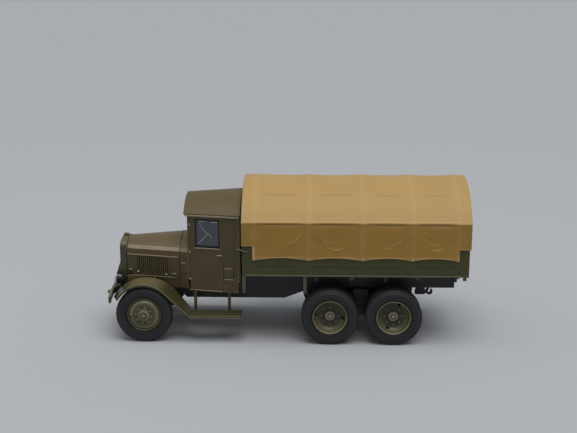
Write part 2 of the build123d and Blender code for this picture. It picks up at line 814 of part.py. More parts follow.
def bonnet_shell(stations, floor_z, wall):
    """Hollow hood between two stations, each a back length, half-width and crown height."""
    with BuildPart() as shell:
        for inset, mode in ((0, Mode.ADD), (wall, Mode.SUBTRACT)):
            for back, half_width, top_z in stations:
                edge, shoulder, crown = bonnet_outline(half_width, top_z, inset)
                left = [shoulder, edge] + [(edge[0], floor_z)] * (floor_z < bonnet_hinge_z)
                right = [(-y, z) for y, z in reversed(left)]
                with BuildSketch(cross_plane(ahead(back))):
                    with BuildLine():
                        Polyline(*left, *right)
                        ThreePointArc(shoulder, crown, right[-1])
                    make_face()
            loft(mode=mode)
    return shell.part


# Bonnet top: two arched leaves in one hood, resting on the side panels
bonnet_front = (bonnet_front_back, bonnet_front_half_width, bonnet_front_top_z)
bonnet_rear = (bonnet_rear_back, bonnet_rear_half_width, bonnet_rear_top_z)
hood = bonnet_shell((bonnet_front, bonnet_rear), bonnet_hinge_z, bonnet_wall)
with BuildPart() as bonnet_top:
    add(hood)
finish(bonnet_top, "bonnet_top")


def flank(back0, back1, half0, half1, wall):
    """Corners, seen from above, of a left wall that runs between two stations."""
    return [
        (ahead(back0), half0),
        (ahead(back1), half1),
        (ahead(back1), half1 - wall),
        (ahead(back0), half0 - wall),
    ]


# Bonnet sides: louvred panels that widen towards the cab, with a bead above and below
bonnet_length = bonnet_rear_back - bonnet_front_back
bonnet_flare = (bonnet_rear_half_width - bonnet_front_half_width) / bonnet_length
flare_angle = degrees(atan2(bonnet_rear_half_width - bonnet_front_half_width, bonnet_length))
with BuildPart() as bonnet_sides:
    with BuildSketch(Plane.XY.offset(bonnet_side_bottom_z)):
        with BuildLine():
            Polyline(
                *flank(
                    bonnet_front_back,
                    bonnet_rear_back,
                    bonnet_front_half_width,
                    bonnet_rear_half_width,
                    bonnet_wall,
                ),
                close=True,
            )
        make_face()
    extrude(amount=bonnet_hinge_z - bonnet_side_bottom_z)
    apron_half_y = bonnet_front_half_width + bonnet_flare * (bonnet_apron_front_back - bonnet_front_back)
    with BuildSketch(Plane.XY.offset(bonnet_apron_bottom_z)):
        with BuildLine():
            Polyline(
                *flank(
                    bonnet_apron_front_back,
                    bonnet_rear_back,
                    apron_half_y,
                    bonnet_rear_half_width,
                    bonnet_wall,
                ),
                close=True,
            )
        make_face()
    extrude(amount=bonnet_side_bottom_z - bonnet_apron_bottom_z)
    side_face = Plane(
        origin=(ahead(bonnet_front_back), bonnet_front_half_width, 0),
        x_dir=(-cos(radians(flare_angle)), sin(radians(flare_angle)), 0),
        z_dir=(sin(radians(flare_angle)), cos(radians(flare_angle)), 0),
    )
    face_length = bonnet_length / cos(radians(flare_angle))
    with BuildSketch(side_face):
        for bead_z in (bonnet_hinge_z - bead_radius, bonnet_bead_z):
            with Locations((face_length / 2, bead_z)):
                Rectangle(face_length - 0.6, 2 * bead_radius)
    extrude(amount=bead_radius)
    louvre_pitch = (louvre_rear_back - louvre_front_back) / (louvre_count - 1)
    with BuildSketch(side_face):
        for louvre in range(louvre_count):
            place = louvre_front_back - bonnet_front_back + louvre * louvre_pitch
            with Locations((place / cos(radians(flare_angle)), (louvre_bottom_z + louvre_top_z) / 2)):
                Rectangle(louvre_pitch * 0.5, louvre_top_z - louvre_bottom_z)
    extrude(amount=louvre_depth)
    mirror(about=Plane.XZ)
finish(bonnet_sides, "bonnet_sides")

# Cowl between the bonnet and the cab's front wall, open below for the rails
cowl_front = (bonnet_rear_back + cowl_gap, bonnet_rear_half_width, bonnet_rear_top_z)
cowl_rear = (cab_front_back, cab_front_half_width, cowl_rear_top_z)
scuttle = bonnet_shell((cowl_front, cowl_rear), bonnet_apron_bottom_z, cab_wall)
with BuildPart() as cowl:
    add(scuttle)
finish(cowl, "cowl")

# Wings: a curved strip over each front wheel, higher at its inner edge, swept down to the running board
wing_top_z = tyre_radius + tyre_radius + wing_clearance + wing_thickness
wing_sections = (
    (wing_outer_y, tyre_radius + wing_clearance + wing_thickness, wing_top_z, wing_outer_front_angle),
    (wing_inner_y, wing_inner_radius, wing_inner_top_z, wing_inner_front_angle),
)


def wing_path(radius, top_z, front_angle, drop):
    """Front end, crown, rear end of the arc and foot of a wing's line, lowered into the sheet by drop."""
    centre_z = top_z - radius
    r = radius - drop
    front = (r * cos(radians(front_angle)), centre_z + r * sin(radians(front_angle)))
    leave = (r * cos(radians(wing_rear_angle)), centre_z + r * sin(radians(wing_rear_angle)))
    return front, (0, centre_z + r), leave, (board_front_back, board_top_z - drop)


with BuildPart() as wings:
    for y, radius, top_z, front_angle in wing_sections:
        with BuildSketch(Plane(origin=(front_axle_x, y, 0), x_dir=(-1, 0, 0), z_dir=(0, 1, 0))):
            with BuildLine():
                over = wing_path(radius, top_z, front_angle, 0)
                under = wing_path(radius, top_z, front_angle, wing_thickness)
                ThreePointArc(over[0], over[1], over[2])
                Polyline(over[2], over[3], under[3], under[2])
                ThreePointArc(under[2], under[1], under[0])
                Line(under[0], over[0])
            make_face()
    loft(ruled=True)
    for back in wing_arm_backs:
        middle_radius = wing_inner_radius - wing_thickness / 2
        arm_reach = abs(back) + wing_arm_width
        arm_top_z = wing_inner_top_z - wing_inner_radius + sqrt(middle_radius**2 - arm_reach**2)
        with BuildSketch(Plane.XY.offset(arm_top_z - wing_arm_depth)):
            with Locations((ahead(back), (rail_outer_y + wing_inner_y + 0.8) / 2)):
                Rectangle(wing_arm_width, wing_inner_y + 0.8 - rail_outer_y)
        extrude(amount=wing_arm_depth)
    mirror(about=Plane.XZ)
finish(wings, "wings")

# Running boards on hangers from the rails
board_centre_x = ahead((board_front_back + board_rear_back) / 2)
with BuildPart() as running_boards:
    with BuildSketch(Plane.XY.offset(board_top_z - board_thickness)):
        with Locations((board_centre_x, (board_inner_y + board_outer_y) / 2)):
            Rectangle(board_rear_back - board_front_back, board_outer_y - board_inner_y)
    extrude(amount=board_thickness)
    with BuildSketch(Plane.XY.offset(board_top_z)):
        for strip in range(board_strips):
            strip_y = board_inner_y + (strip + 0.75) * (board_outer_y - board_inner_y) / (board_strips + 0.5)
            with Locations((board_centre_x, strip_y)):
                Rectangle(board_rear_back - board_front_back - 1.0, 0.5)
    extrude(amount=0.25)
    for back in board_hanger_backs:
        with BuildSketch(cross_plane(ahead(back) - board_hanger_width / 2)):
            with BuildLine():
                Polyline(
                    (board_inner_y + 1.3, board_top_z - 0.2),
                    (board_inner_y + 1.3, hanger_top_z),
                    (rail_outer_y, hanger_top_z),
                    (rail_outer_y, hanger_top_z - 1.4),
                    (board_inner_y, hanger_top_z - 1.4),
                    (board_inner_y, board_top_z - 0.2),
                    close=True,
                )
            make_face()
        extrude(amount=board_hanger_width)
    mirror(about=Plane.XZ)
finish(running_boards, "running_boards")


def cap_arc(edge_x, half, tip_x):
    """Three points of a dome's arc, from its edge to its tip on the axis."""
    height = tip_x - edge_x
    radius = (half**2 + height**2) / (2 * abs(height))
    centre_x = tip_x - radius * (1 if height > 0 else -1)
    tip_angle = 0 if height > 0 else radians(180)
    turn = (atan2(half, edge_x - centre_x) + tip_angle) / 2
    return (edge_x, half), (centre_x + radius * cos(turn), radius * sin(turn)), (tip_x, 0)


# Headlights: bowls on posts from arms on the rails, each with its own lens
lamp_x = ahead(headlight_front_back)
with BuildPart() as headlights:
    with BuildSketch(side_plane(lamp_x, headlight_y, headlight_z)):
        with BuildLine():
            Polyline(
                (0, 0),
                (0, headlight_radius),
                (-headlight_band, headlight_radius),
                (-headlight_waist_depth, headlight_waist_radius),
                (-headlight_depth, headlight_back_radius),
                (-headlight_depth, 0),
                close=True,
            )
        make_face()
    revolve(axis=Axis((lamp_x, headlight_y, headlight_z), (1, 0, 0)))
    with BuildSketch(cross_plane(lamp_x - 0.7, headlight_z)):
        with Locations((headlight_y, 0)):
            Circle(headlight_radius - 0.3)
    extrude(amount=0.7, mode=Mode.SUBTRACT)
    post_x = lamp_x - headlight_depth * 0.45
    with BuildSketch(Plane.XY.offset(headlight_arm_z)):
        with Locations((post_x, headlight_y)):
            Circle(0.55)
    extrude(amount=headlight_z - headlight_arm_z - headlight_radius + 0.4)
    with BuildSketch(Plane.XY.offset(headlight_arm_z)):
        with Locations((post_x, (headlight_y + 0.6 + rail_outer_y) / 2)):
            Rectangle(1.2, headlight_y + 0.6 - rail_outer_y)
    extrude(amount=0.8)
    mirror(about=Plane.XZ)
finish(headlights, "headlights")

with BuildPart() as headlight_lenses:
    with BuildSketch(side_plane(lamp_x - 0.7, headlight_y, headlight_z)):
        with BuildLine():
            Polyline((0, 0), (0, headlight_radius - 0.3), (0.6, headlight_radius - 0.3))
            ThreePointArc(*cap_arc(0.6, headlight_radius - 0.3, 1.2))
            Line((1.2, 0), (0, 0))
        make_face()
    revolve(axis=Axis((lamp_x, headlight_y, headlight_z), (1, 0, 0)))
    mirror(about=Plane.XZ)
finish(headlight_lenses, "headlight_lenses")

# Cab: the space that its walls and roof enclose, cut from for each panel
roof_half = {back: cab_half_width(back) + roof_overhang for back in (roof_front_back, cab_rear_back)}
roof_crown = {roof_front_back: roof_eave_z + roof_front_rise, cab_rear_back: roof_eave_z + roof_rear_rise}


def roof_solid(inset, floor_z):
    """Solid below the roof's arch, from its front edge to its rear, drawn in by the given inset."""
    with BuildPart() as dome:
        for back in (roof_front_back, cab_rear_back):
            half = roof_half[back] - inset
            with BuildSketch(cross_plane(ahead(back))):
                with BuildLine():
                    ThreePointArc((half, roof_eave_z), (0, roof_crown[back] - inset), (-half, roof_eave_z))
                    Polyline((-half, roof_eave_z), (-half, floor_z), (half, floor_z), (half, roof_eave_z))
                make_face()
        loft(ruled=True)
    return dome.part


roof_block = roof_solid(0, roof_eave_z - 1)
roof_room = roof_solid(roof_thickness, roof_eave_z - 2)
with BuildPart() as cab_roof:
    add(roof_block)
    add(roof_room, mode=Mode.SUBTRACT)
    with BuildSketch(Plane.XY.offset(roof_eave_z - 1)):
        with Locations((ahead(cab_rear_back), 0)):
            Rectangle(4 * cab_rear_back, 4 * cab_rear_half_width)
    extrude(amount=1, mode=Mode.SUBTRACT)
    with BuildSketch(Plane.XY.offset(roof_eave_z)):
        with BuildLine():
            Polyline(
                (ahead(roof_front_back), roof_half[roof_front_back] + roof_bead),
                (ahead(cab_rear_back), roof_half[cab_rear_back] + roof_bead),
                (ahead(cab_rear_back), roof_half[cab_rear_back] - roof_thickness / 2),
                (ahead(roof_front_back), roof_half[roof_front_back] - roof_thickness / 2),
                close=True,
            )
        make_face()
        mirror(about=Plane.XZ)
    extrude(amount=roof_bead_height)
finish(cab_roof, "cab_roof")


def cab_flank(back0, back1, wall, inset=0):
    """Corners of a left cab wall between two stations, set in from the cab's side by the given inset."""
    return flank(back0, back1, cab_half_width(back0) - inset, cab_half_width(back1) - inset, wall)


cab_floor_bottom_z = rail_top_z
below_roof = Pos(ahead(cab_front_back), 0, roof_eave_z / 2) * Box(
    4 * cab_rear_back, 4 * cab_rear_half_width, roof_eave_z
)
roof_gauge = roof_solid(roof_thickness, 0) + roof_solid(-2, 0).intersect(below_roof)


def end_wall(back, wall):
    """Full-width cab wall up to the roof, whose front face stands at the given station."""
    half0 = cab_half_width(back)
    half1 = cab_half_width(back + wall)
    with BuildPart() as panel:
        with BuildSketch(Plane.XY.offset(cab_floor_bottom_z)):
            with BuildLine():
                Polyline(
                    (ahead(back), half0),
                    (ahead(back + wall), half1),
                    (ahead(back + wall), -half1),
                    (ahead(back), -half0),
                    close=True,
                )
            make_face()
        extrude(amount=roof_eave_z + roof_rear_rise - cab_floor_bottom_z)
        add(roof_gauge, mode=Mode.INTERSECT)
    return panel.part


window_top_z = roof_eave_z - window_top_drop
windscreen_pane = (windscreen_half - windscreen_post / 2, windscreen_height, window_corner)
windscreen_centres = [
    (side * (windscreen_half + windscreen_post / 2) / 2, window_top_z - windscreen_height / 2)
    for side in (-1, 1)
]
rear_pane = (rear_window_width, rear_window_height, window_corner)
rear_pane_centre = (0, roof_eave_z - rear_window_top_drop - rear_window_height / 2)
door_window = (window_rear_back - window_front_back, window_height, window_corner)
door_window_centre = (ahead((window_front_back + window_rear_back) / 2), window_top_z - window_height / 2)

# Front wall with the windscreen in two panes
front_sheet = end_wall(cab_front_back, cab_wall)
with BuildPart() as cab_front:
    add(front_sheet)
    with BuildSketch(cross_plane(ahead(cab_front_back + cab_wall))):
        with Locations(*windscreen_centres):
            RectangleRounded(*windscreen_pane)
    extrude(amount=cab_wall, mode=Mode.SUBTRACT)
finish(cab_front, "cab_front")

# Rear wall with one small window
rear_sheet = end_wall(cab_rear_back - cab_wall, cab_wall)
with BuildPart() as cab_back:
    add(rear_sheet)
    with BuildSketch(cross_plane(ahead(cab_rear_back))):
        with Locations(rear_pane_centre):
            RectangleRounded(*rear_pane)
    extrude(amount=cab_wall, mode=Mode.SUBTRACT)
finish(cab_back, "cab_back")

# Doors, moulded shut, each with its window cut through
cab_flare = degrees(atan2(cab_rear_half_width - cab_front_half_width, cab_rear_back - cab_front_back))
door_front_back = cab_front_back + cab_wall + door_gap
with BuildPart() as doors:
    with BuildSketch(Plane.XY.offset(cab_bottom_z)):
        with BuildLine():
            Polyline(*cab_flank(door_front_back, door_rear_back, cab_wall), close=True)
        make_face()
    extrude(amount=roof_eave_z - cab_bottom_z)
    with BuildSketch(side_plane(0, cab_rear_half_width)):
        with Locations(door_window_centre):
            RectangleRounded(*door_window)
    extrude(amount=cab_rear_half_width, mode=Mode.SUBTRACT)
    mirror(about=Plane.XZ)
finish(doors, "doors")

# Rear quarters between the doors and the rear wall
with BuildPart() as cab_quarters:
    with BuildSketch(Plane.XY.offset(cab_bottom_z)):
        with BuildLine():
            Polyline(*cab_flank(door_rear_back + door_gap, cab_rear_back - cab_wall, cab_wall), close=True)
        make_face()
    extrude(amount=roof_eave_z - cab_bottom_z)
    mirror(about=Plane.XZ)
finish(cab_quarters, "cab_quarters")

# Floor on the rails, inside the walls
with BuildPart() as cab_floor:
    floor0 = cab_front_back + cab_wall
    floor1 = cab_rear_back - cab_wall
    with BuildSketch(Plane.XY.offset(cab_floor_bottom_z)):
        with BuildLine():
            Polyline(
                (ahead(floor0), cab_half_width(floor0) - cab_wall),
                (ahead(floor1), cab_half_width(floor1) - cab_wall),
                (ahead(floor1), cab_wall - cab_half_width(floor1)),
                (ahead(floor0), cab_wall - cab_half_width(floor0)),
                close=True,
            )
        make_face()
    extrude(amount=floor_top_z - cab_floor_bottom_z)
finish(cab_floor, "cab_floor")

# Panes seated in the windscreen, the doors and the rear wall
pane_inset = (cab_wall - glass_thickness) / 2
with BuildPart() as door_panes:
    with BuildSketch(Plane.XY.offset(window_top_z - window_height)):
        with BuildLine():
            Polyline(*cab_flank(window_front_back, window_rear_back, glass_thickness, pane_inset), close=True)
        make_face()
    extrude(amount=window_height)
    with BuildSketch(side_plane(0, cab_rear_half_width)):
        with Locations(door_window_centre):
            RectangleRounded(*door_window)
    extrude(amount=cab_rear_half_width, mode=Mode.INTERSECT)
    mirror(about=Plane.XZ)
with BuildPart() as window_glass:
    add(door_panes.part)
    with BuildSketch(cross_plane(ahead(cab_front_back + cab_wall - pane_inset))):
        with Locations(*windscreen_centres):
            RectangleRounded(*windscreen_pane)
    extrude(amount=glass_thickness)
    with BuildSketch(cross_plane(ahead(cab_rear_back - pane_inset))):
        with Locations(rear_pane_centre):
            RectangleRounded(*rear_pane)
    extrude(amount=glass_thickness)
finish(window_glass, "window_glass")

# Bench seat across the cab, its back against the rear wall
with BuildPart() as seat:
    seat_rear = cab_rear_back - cab_wall - 0.1
    seat_half = cab_half_width(seat_rear - seat_length) - cab_wall - 0.5
    with BuildSketch(side_plane(0, seat_half)):
        with BuildLine():
            Polyline(
                (ahead(seat_rear), floor_top_z),
                (ahead(seat_rear), floor_top_z + seat_height + seat_back_height),
                (ahead(seat_rear - 1.6), floor_top_z + seat_height + seat_back_height),
                (ahead(seat_rear - 2.8), floor_top_z + seat_height),
                (ahead(seat_rear - seat_length), floor_top_z + seat_height - 0.6),
                (ahead(seat_rear - seat_length), floor_top_z),
                close=True,
            )
        make_face()
    extrude(amount=2 * seat_half)
    fillet(seat.edges().filter_by(Axis.Y).sort_by(Axis.Z)[-4:], 0.5)
finish(seat, "seat")

# Steering wheel on its column, on the left
with BuildPart() as steering_wheel:
    tilt_angle = radians(steering_tilt)
    column_dir = (cos(tilt_angle), 0, -sin(tilt_angle))
    wheel_plane = Plane(
        origin=(ahead(steering_back), steering_y, steering_z), x_dir=(0, 1, 0), z_dir=column_dir
    )
    with BuildSketch(wheel_plane):
        Circle(steering_wheel_radius)
        Circle(steering_wheel_radius - 2 * steering_rim_radius, mode=Mode.SUBTRACT)
        with PolarLocations(steering_wheel_radius / 2, 3):
            Rectangle(steering_wheel_radius, 0.6)
        Circle(0.9)
    extrude(amount=2 * steering_rim_radius)
    column_length = (steering_back - cab_front_back - cab_wall) / cos(tilt_angle) - 0.3
    with BuildSketch(wheel_plane):
        Circle(0.45)
    extrude(amount=column_length)
finish(steering_wheel, "steering_wheel")

# Load bed: planked floor, sides, front board and tailgate
bed_inner_y = bed_half_width - bed_board
bed_length = bed_rear_back - bed_front_back
with BuildPart() as bed_floor:
    with BuildSketch(Plane.XY.offset(bed_bottom_z)):
        with Locations((ahead((bed_front_back + bed_rear_back) / 2), 0)):
            Rectangle(bed_length - 2 * bed_board, 2 * bed_inner_y)
    extrude(amount=bed_floor_thickness)
finish(bed_floor, "bed_floor")

with BuildPart() as bed_sides:
    with BuildSketch(side_plane(ahead(bed_rear_back), bed_half_width)):
        with Locations((bed_length / 2, (bed_bottom_z + bed_side_top_z) / 2)):
            Rectangle(bed_length, bed_side_top_z - bed_bottom_z)
    extrude(amount=bed_board)
    with BuildSketch(side_plane(ahead(bed_rear_back), bed_half_width + post_proud)):
        with Locations((bed_length - corner_post_width / 2, (bed_bottom_z + bed_side_top_z) / 2)):
            Rectangle(corner_post_width, bed_side_top_z - bed_bottom_z)
        with Locations((corner_post_width / 2, (bed_bottom_z + bed_side_top_z) / 2)):
            Rectangle(corner_post_width, bed_side_top_z - bed_bottom_z)
        for back in bow_backs[1:-1]:
            with Locations((bed_rear_back - back, (bed_bottom_z + bed_side_top_z) / 2)):
                Rectangle(post_width, bed_side_top_z - bed_bottom_z)
    extrude(amount=post_proud)
    with BuildSketch(side_plane(ahead(bed_rear_back), bed_half_width)):
        with Locations((bed_length / 2, plank_joint_z)):
            Rectangle(bed_length - 2 * corner_post_width, plank_groove)
        with Locations((bed_length / 2, (plank_joint_z + bed_side_top_z) / 2)):
            Rectangle(bed_length - 2 * corner_post_width, plank_groove)
    extrude(amount=plank_groove, mode=Mode.SUBTRACT)
    with BuildSketch(side_plane(ahead(bed_rear_back), bed_half_width + side_bead_proud)):
        with Locations((bed_length / 2, bed_bottom_z + side_bead_height / 2)):
            Rectangle(bed_length - corner_post_width, side_bead_height)
    extrude(amount=side_bead_proud + bed_board / 2)
    with BuildSketch(side_plane(ahead(bed_rear_back), bed_half_width + side_bead_proud)):
        for back in side_hinge_backs:
            with Locations((bed_rear_back - back, bed_bottom_z - side_hinge_drop / 2)):
                Rectangle(side_hinge_width, side_hinge_drop)
    extrude(amount=side_bead_proud + bed_board / 2)
    mirror(about=Plane.XZ)
finish(bed_sides, "bed_sides")

with BuildPart() as bed_front_board:
    with BuildSketch(cross_plane(ahead(bed_front_back + bed_board))):
        with Locations((0, (bed_bottom_z + bed_side_top_z) / 2)):
            Rectangle(2 * bed_inner_y, bed_side_top_z - bed_bottom_z)
    extrude(amount=bed_board)
finish(bed_front_board, "bed_front_board")

with BuildPart() as tailgate:
    with BuildSketch(cross_plane(ahead(bed_rear_back))):
        with Locations((0, (bed_bottom_z + bed_side_top_z) / 2)):
            Rectangle(2 * bed_inner_y, bed_side_top_z - bed_bottom_z)
    extrude(amount=bed_board)
    with BuildSketch(cross_plane(ahead(bed_rear_back))):
        for joint_z in (plank_joint_z, (plank_joint_z + bed_side_top_z) / 2):
            with Locations((0, joint_z)):
                Rectangle(2 * bed_inner_y, plank_groove)
    extrude(amount=plank_groove, mode=Mode.SUBTRACT)
finish(tailgate, "tailgate")

# Bed bearers: two long sills on the rails with cross bearers over them
with BuildPart() as bed_bearers:
    for side in (-1, 1):
        with BuildSketch(Plane.XY.offset(rail_top_z)):
            with Locations((ahead((bed_front_back + rail_rear_back) / 2), side * rail_spread)):
                Rectangle(rail_rear_back - bed_front_back, rail_width)
        extrude(amount=sill_height)
    with BuildSketch(Plane.XY.offset(rail_top_z + sill_height)):
        for bearer in range(bearer_count):
            share = bearer / (bearer_count - 1)
            back = bed_front_back + 2 + share * (rail_rear_back - bed_front_back - 4)
            with Locations((ahead(back), 0)):
                Rectangle(bearer_width, 2 * bed_inner_y)
    extrude(amount=bed_bottom_z - rail_top_z - sill_height)
finish(bed_bearers, "bed_bearers")

# Struts hanging below the drop sides
with BuildPart() as bed_struts:
    for back in strut_backs:
        with BuildSketch(side_plane(ahead(back), bed_half_width)):
            with BuildLine():
                Polyline(
                    (-strut_top_width / 2, bed_bottom_z),
                    (strut_top_width / 2, bed_bottom_z),
                    (strut_foot_width / 2, strut_bottom_z),
                    (-strut_foot_width / 2, strut_bottom_z),
                    close=True,
                )
            make_face()
        extrude(amount=bed_board)
    mirror(about=Plane.XZ)
finish(bed_struts, "bed_struts")


def tilt_outline(inset, floor_z):
    """Solid under the canvas, drawn in by the given inset on its sides and top."""
    half = tilt_half_width - inset
    with BuildPart() as block:
        with BuildSketch(cross_plane(ahead(tilt_rear_back))):
            with BuildLine():
                Polyline((half, tilt_eave_z), (half, floor_z), (-half, floor_z), (-half, tilt_eave_z))
                ThreePointArc((-half, tilt_eave_z), (0, tilt_crown_z - inset), (half, tilt_eave_z))
            make_face()
        extrude(amount=tilt_rear_back - tilt_front_back)
    return block.part


# Canvas tilt: one moulded cover, closed in front, open at the back, deeper between its end strips
tilt_block = tilt_outline(0, tilt_hem_z)
tilt_room = tilt_outline(tilt_wall, tilt_hem_z - 1).moved(Location((-tilt_wall, 0, 0)))
with BuildPart() as tilt:
    add(tilt_block)
    add(tilt_room, mode=Mode.SUBTRACT)
    with BuildSketch(Plane.XY.offset(tilt_hem_z - 1)):
        for back in (tilt_front_back + tilt_end_strip / 2, tilt_rear_back - tilt_end_strip / 2):
            with Locations((ahead(back), 0)):
                Rectangle(tilt_end_strip, 2 * tilt_half_width + 1)
    extrude(amount=tilt_end_skirt_z - tilt_hem_z + 1, mode=Mode.SUBTRACT)
finish(tilt, "tilt")

# Bows inside the tilt, standing on the drop sides
bow_outer = tilt_outline(tilt_wall + bow_gap, bed_side_top_z)
bow_inner = tilt_outline(tilt_wall + bow_gap + bow_depth, bed_side_top_z - 1)
with BuildPart() as tilt_bows:
    for back in bow_backs:
        with BuildSketch(cross_plane(ahead(back) - bow_width / 2)):
            with Locations((0, (bed_side_top_z + tilt_crown_z) / 2)):
                Rectangle(2 * tilt_half_width, tilt_crown_z - bed_side_top_z)
        extrude(amount=bow_width)
    add(bow_outer, mode=Mode.INTERSECT)
    add(bow_inner, mode=Mode.SUBTRACT)
finish(tilt_bows, "tilt_bows")
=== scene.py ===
import bpy
import bmesh
import json
from math import asin, cos, exp, pi, radians, sin, sqrt
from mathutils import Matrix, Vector, noise


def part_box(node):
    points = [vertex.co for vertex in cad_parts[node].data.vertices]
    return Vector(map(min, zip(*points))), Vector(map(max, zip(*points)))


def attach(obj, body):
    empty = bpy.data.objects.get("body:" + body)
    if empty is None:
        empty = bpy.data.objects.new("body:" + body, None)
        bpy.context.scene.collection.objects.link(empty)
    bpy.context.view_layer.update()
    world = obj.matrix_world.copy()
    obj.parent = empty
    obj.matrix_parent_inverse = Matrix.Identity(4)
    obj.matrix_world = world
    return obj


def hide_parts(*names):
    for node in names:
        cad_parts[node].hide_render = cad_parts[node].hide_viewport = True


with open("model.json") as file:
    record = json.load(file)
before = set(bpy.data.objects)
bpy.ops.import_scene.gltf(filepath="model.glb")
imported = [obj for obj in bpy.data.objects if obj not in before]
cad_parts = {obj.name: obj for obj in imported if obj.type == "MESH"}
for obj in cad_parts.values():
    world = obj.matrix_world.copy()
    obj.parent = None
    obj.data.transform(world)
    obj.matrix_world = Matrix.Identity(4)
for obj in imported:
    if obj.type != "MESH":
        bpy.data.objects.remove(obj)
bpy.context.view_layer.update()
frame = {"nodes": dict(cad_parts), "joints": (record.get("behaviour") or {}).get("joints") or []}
nodes = frame["nodes"]
jointX = {joint["child"]: joint["pos_m"][0] for joint in frame["joints"]}
axleZ = frame["joints"][0]["pos_m"][2]
mm = 0.001
bothSides = (1, -1)  # left and right
smoothAngle = 32.0  # degrees; sharper edges stay crisp
print("frame loaded")


def ahead(back):  # x of a station given in mm behind the front axle
    return jointX["front_axle"] - back * mm


def between(low, high, share):
    return low + (high - low) * share


# node helpers for the materials

def newGroup(name, inputs, outputs):  # a group's Colour sockets hold colours, the others numbers
    group = bpy.data.node_groups.new(name, "ShaderNodeTree")
    for side, labels in (("INPUT", inputs), ("OUTPUT", outputs)):
        for label in labels:
            kind = "NodeSocketColor" if "Colour" in label else "NodeSocketFloat"
            socket = group.interface.new_socket(name=label, in_out=side, socket_type=kind)
            if side == "INPUT":
                socket.default_value = inputs[label]
    return group, group.nodes.new("NodeGroupInput").outputs, group.nodes.new("NodeGroupOutput").inputs


def feed(tree, socket, value):
    if isinstance(value, (int, float, tuple)):
        socket.default_value = value
    else:
        tree.links.new(value, socket)


def mathNode(tree, operation, a, b=0.0):
    node = tree.nodes.new("ShaderNodeMath")
    node.operation = operation
    feed(tree, node.inputs[0], a)
    feed(tree, node.inputs[1], b)
    return node.outputs[0]


def mixColour(tree, amount, a, b, blend="MIX"):
    node = tree.nodes.new("ShaderNodeMix")
    node.data_type = "RGBA"
    node.blend_type = blend
    for place, value in ((0, amount), (6, a), (7, b)):  # the colour sockets of a Mix node are 6 and 7
        feed(tree, node.inputs[place], value)
    return node.outputs[2]


def ramp(tree, value, low, high, bottom=0.0):  # a smooth rise from the bottom value to 1
    node = tree.nodes.new("ShaderNodeMapRange")
    node.interpolation_type = "SMOOTHSTEP"
    for label, given in (("Value", value), ("From Min", low), ("From Max", high), ("To Min", bottom)):
        feed(tree, node.inputs[label], given)
    return node.outputs["Result"]


def spots(tree, scale, detail=3.0):
    place = tree.nodes.new("ShaderNodeTexCoord")
    texture = tree.nodes.new("ShaderNodeTexNoise")
    texture.inputs["Detail"].default_value = detail
    tree.links.new(place.outputs["Object"], texture.inputs["Vector"])
    feed(tree, texture.inputs["Scale"], scale)
    return texture.outputs["Fac"]


plainGrey = (0.1, 0.1, 0.1, 1)
edgeBreaks = dict(scale=900.0, low=0.3, high=0.6, least=0.6)


def makeEdgeWearAndPaintedLight():  # a paler colour where marks lie, a little broken up: rubbed edges and painted highlights, and in its second use painted shade
    group, given, result = newGroup(
        "edgeWearAndPaintedLight", {"Colour": plainGrey, "Edge Colour": (0.3, 0.3, 0.3, 1), "Edge": 0.0, "Amount": 0.5},
        ("Colour",),
    )
    look = edgeBreaks
    broken = ramp(group, spots(group, look["scale"]), look["low"], look["high"], look["least"])
    mask = mathNode(group, "MULTIPLY", mathNode(group, "MULTIPLY", given["Edge"], broken), given["Amount"])
    group.links.new(mixColour(group, mask, given["Colour"], given["Edge Colour"]), result["Colour"])
    return group


toneClouds = dict(detail=4.0, low=0.3, high=0.7)


def makeMottle():  # slow change of tone over a surface
    group, given, result = newGroup(
        "toneMottle", {"Colour": plainGrey, "Scale": 120.0, "Amount": 0.15}, ("Colour",),
    )
    look = toneClouds
    darkest = mathNode(group, "SUBTRACT", 1.0, given["Amount"])
    lightest = mathNode(group, "ADD", 1.0, given["Amount"])
    share = ramp(group, spots(group, given["Scale"], look["detail"]), look["low"], look["high"])
    reach = mathNode(group, "SUBTRACT", lightest, darkest)
    gain = mathNode(group, "ADD", darkest, mathNode(group, "MULTIPLY", share, reach))
    grey = group.nodes.new("ShaderNodeCombineColor")
    for channel in range(3):
        group.links.new(gain, grey.inputs[channel])
    group.links.new(mixColour(group, 1.0, given["Colour"], grey.outputs[0], "MULTIPLY"), result["Colour"])
    return group


grainSpots = dict(fineDetail=2.0, patchScale=260.0, patchDetail=4.0)


def makeFineGrain():  # tiny relief of sprayed paint or moulded plastic, and patches of other gloss
    group, given, result = newGroup(
        "fineGrain", {"Scale": 2500.0, "Roughness": 0.4, "Spread": 0.08}, ("Height", "Roughness"),
    )
    fine = spots(group, given["Scale"], grainSpots["fineDetail"])
    patches = spots(group, grainSpots["patchScale"], grainSpots["patchDetail"])
    swing = mathNode(group, "MULTIPLY", mathNode(group, "SUBTRACT", patches, 0.5), given["Spread"])
    group.links.new(fine, result["Height"])
    group.links.new(mathNode(group, "ADD", given["Roughness"], swing), result["Roughness"])
    return group


topLightPatches = dict(scale=420.0, detail=5.0, low=0.3, high=0.75)


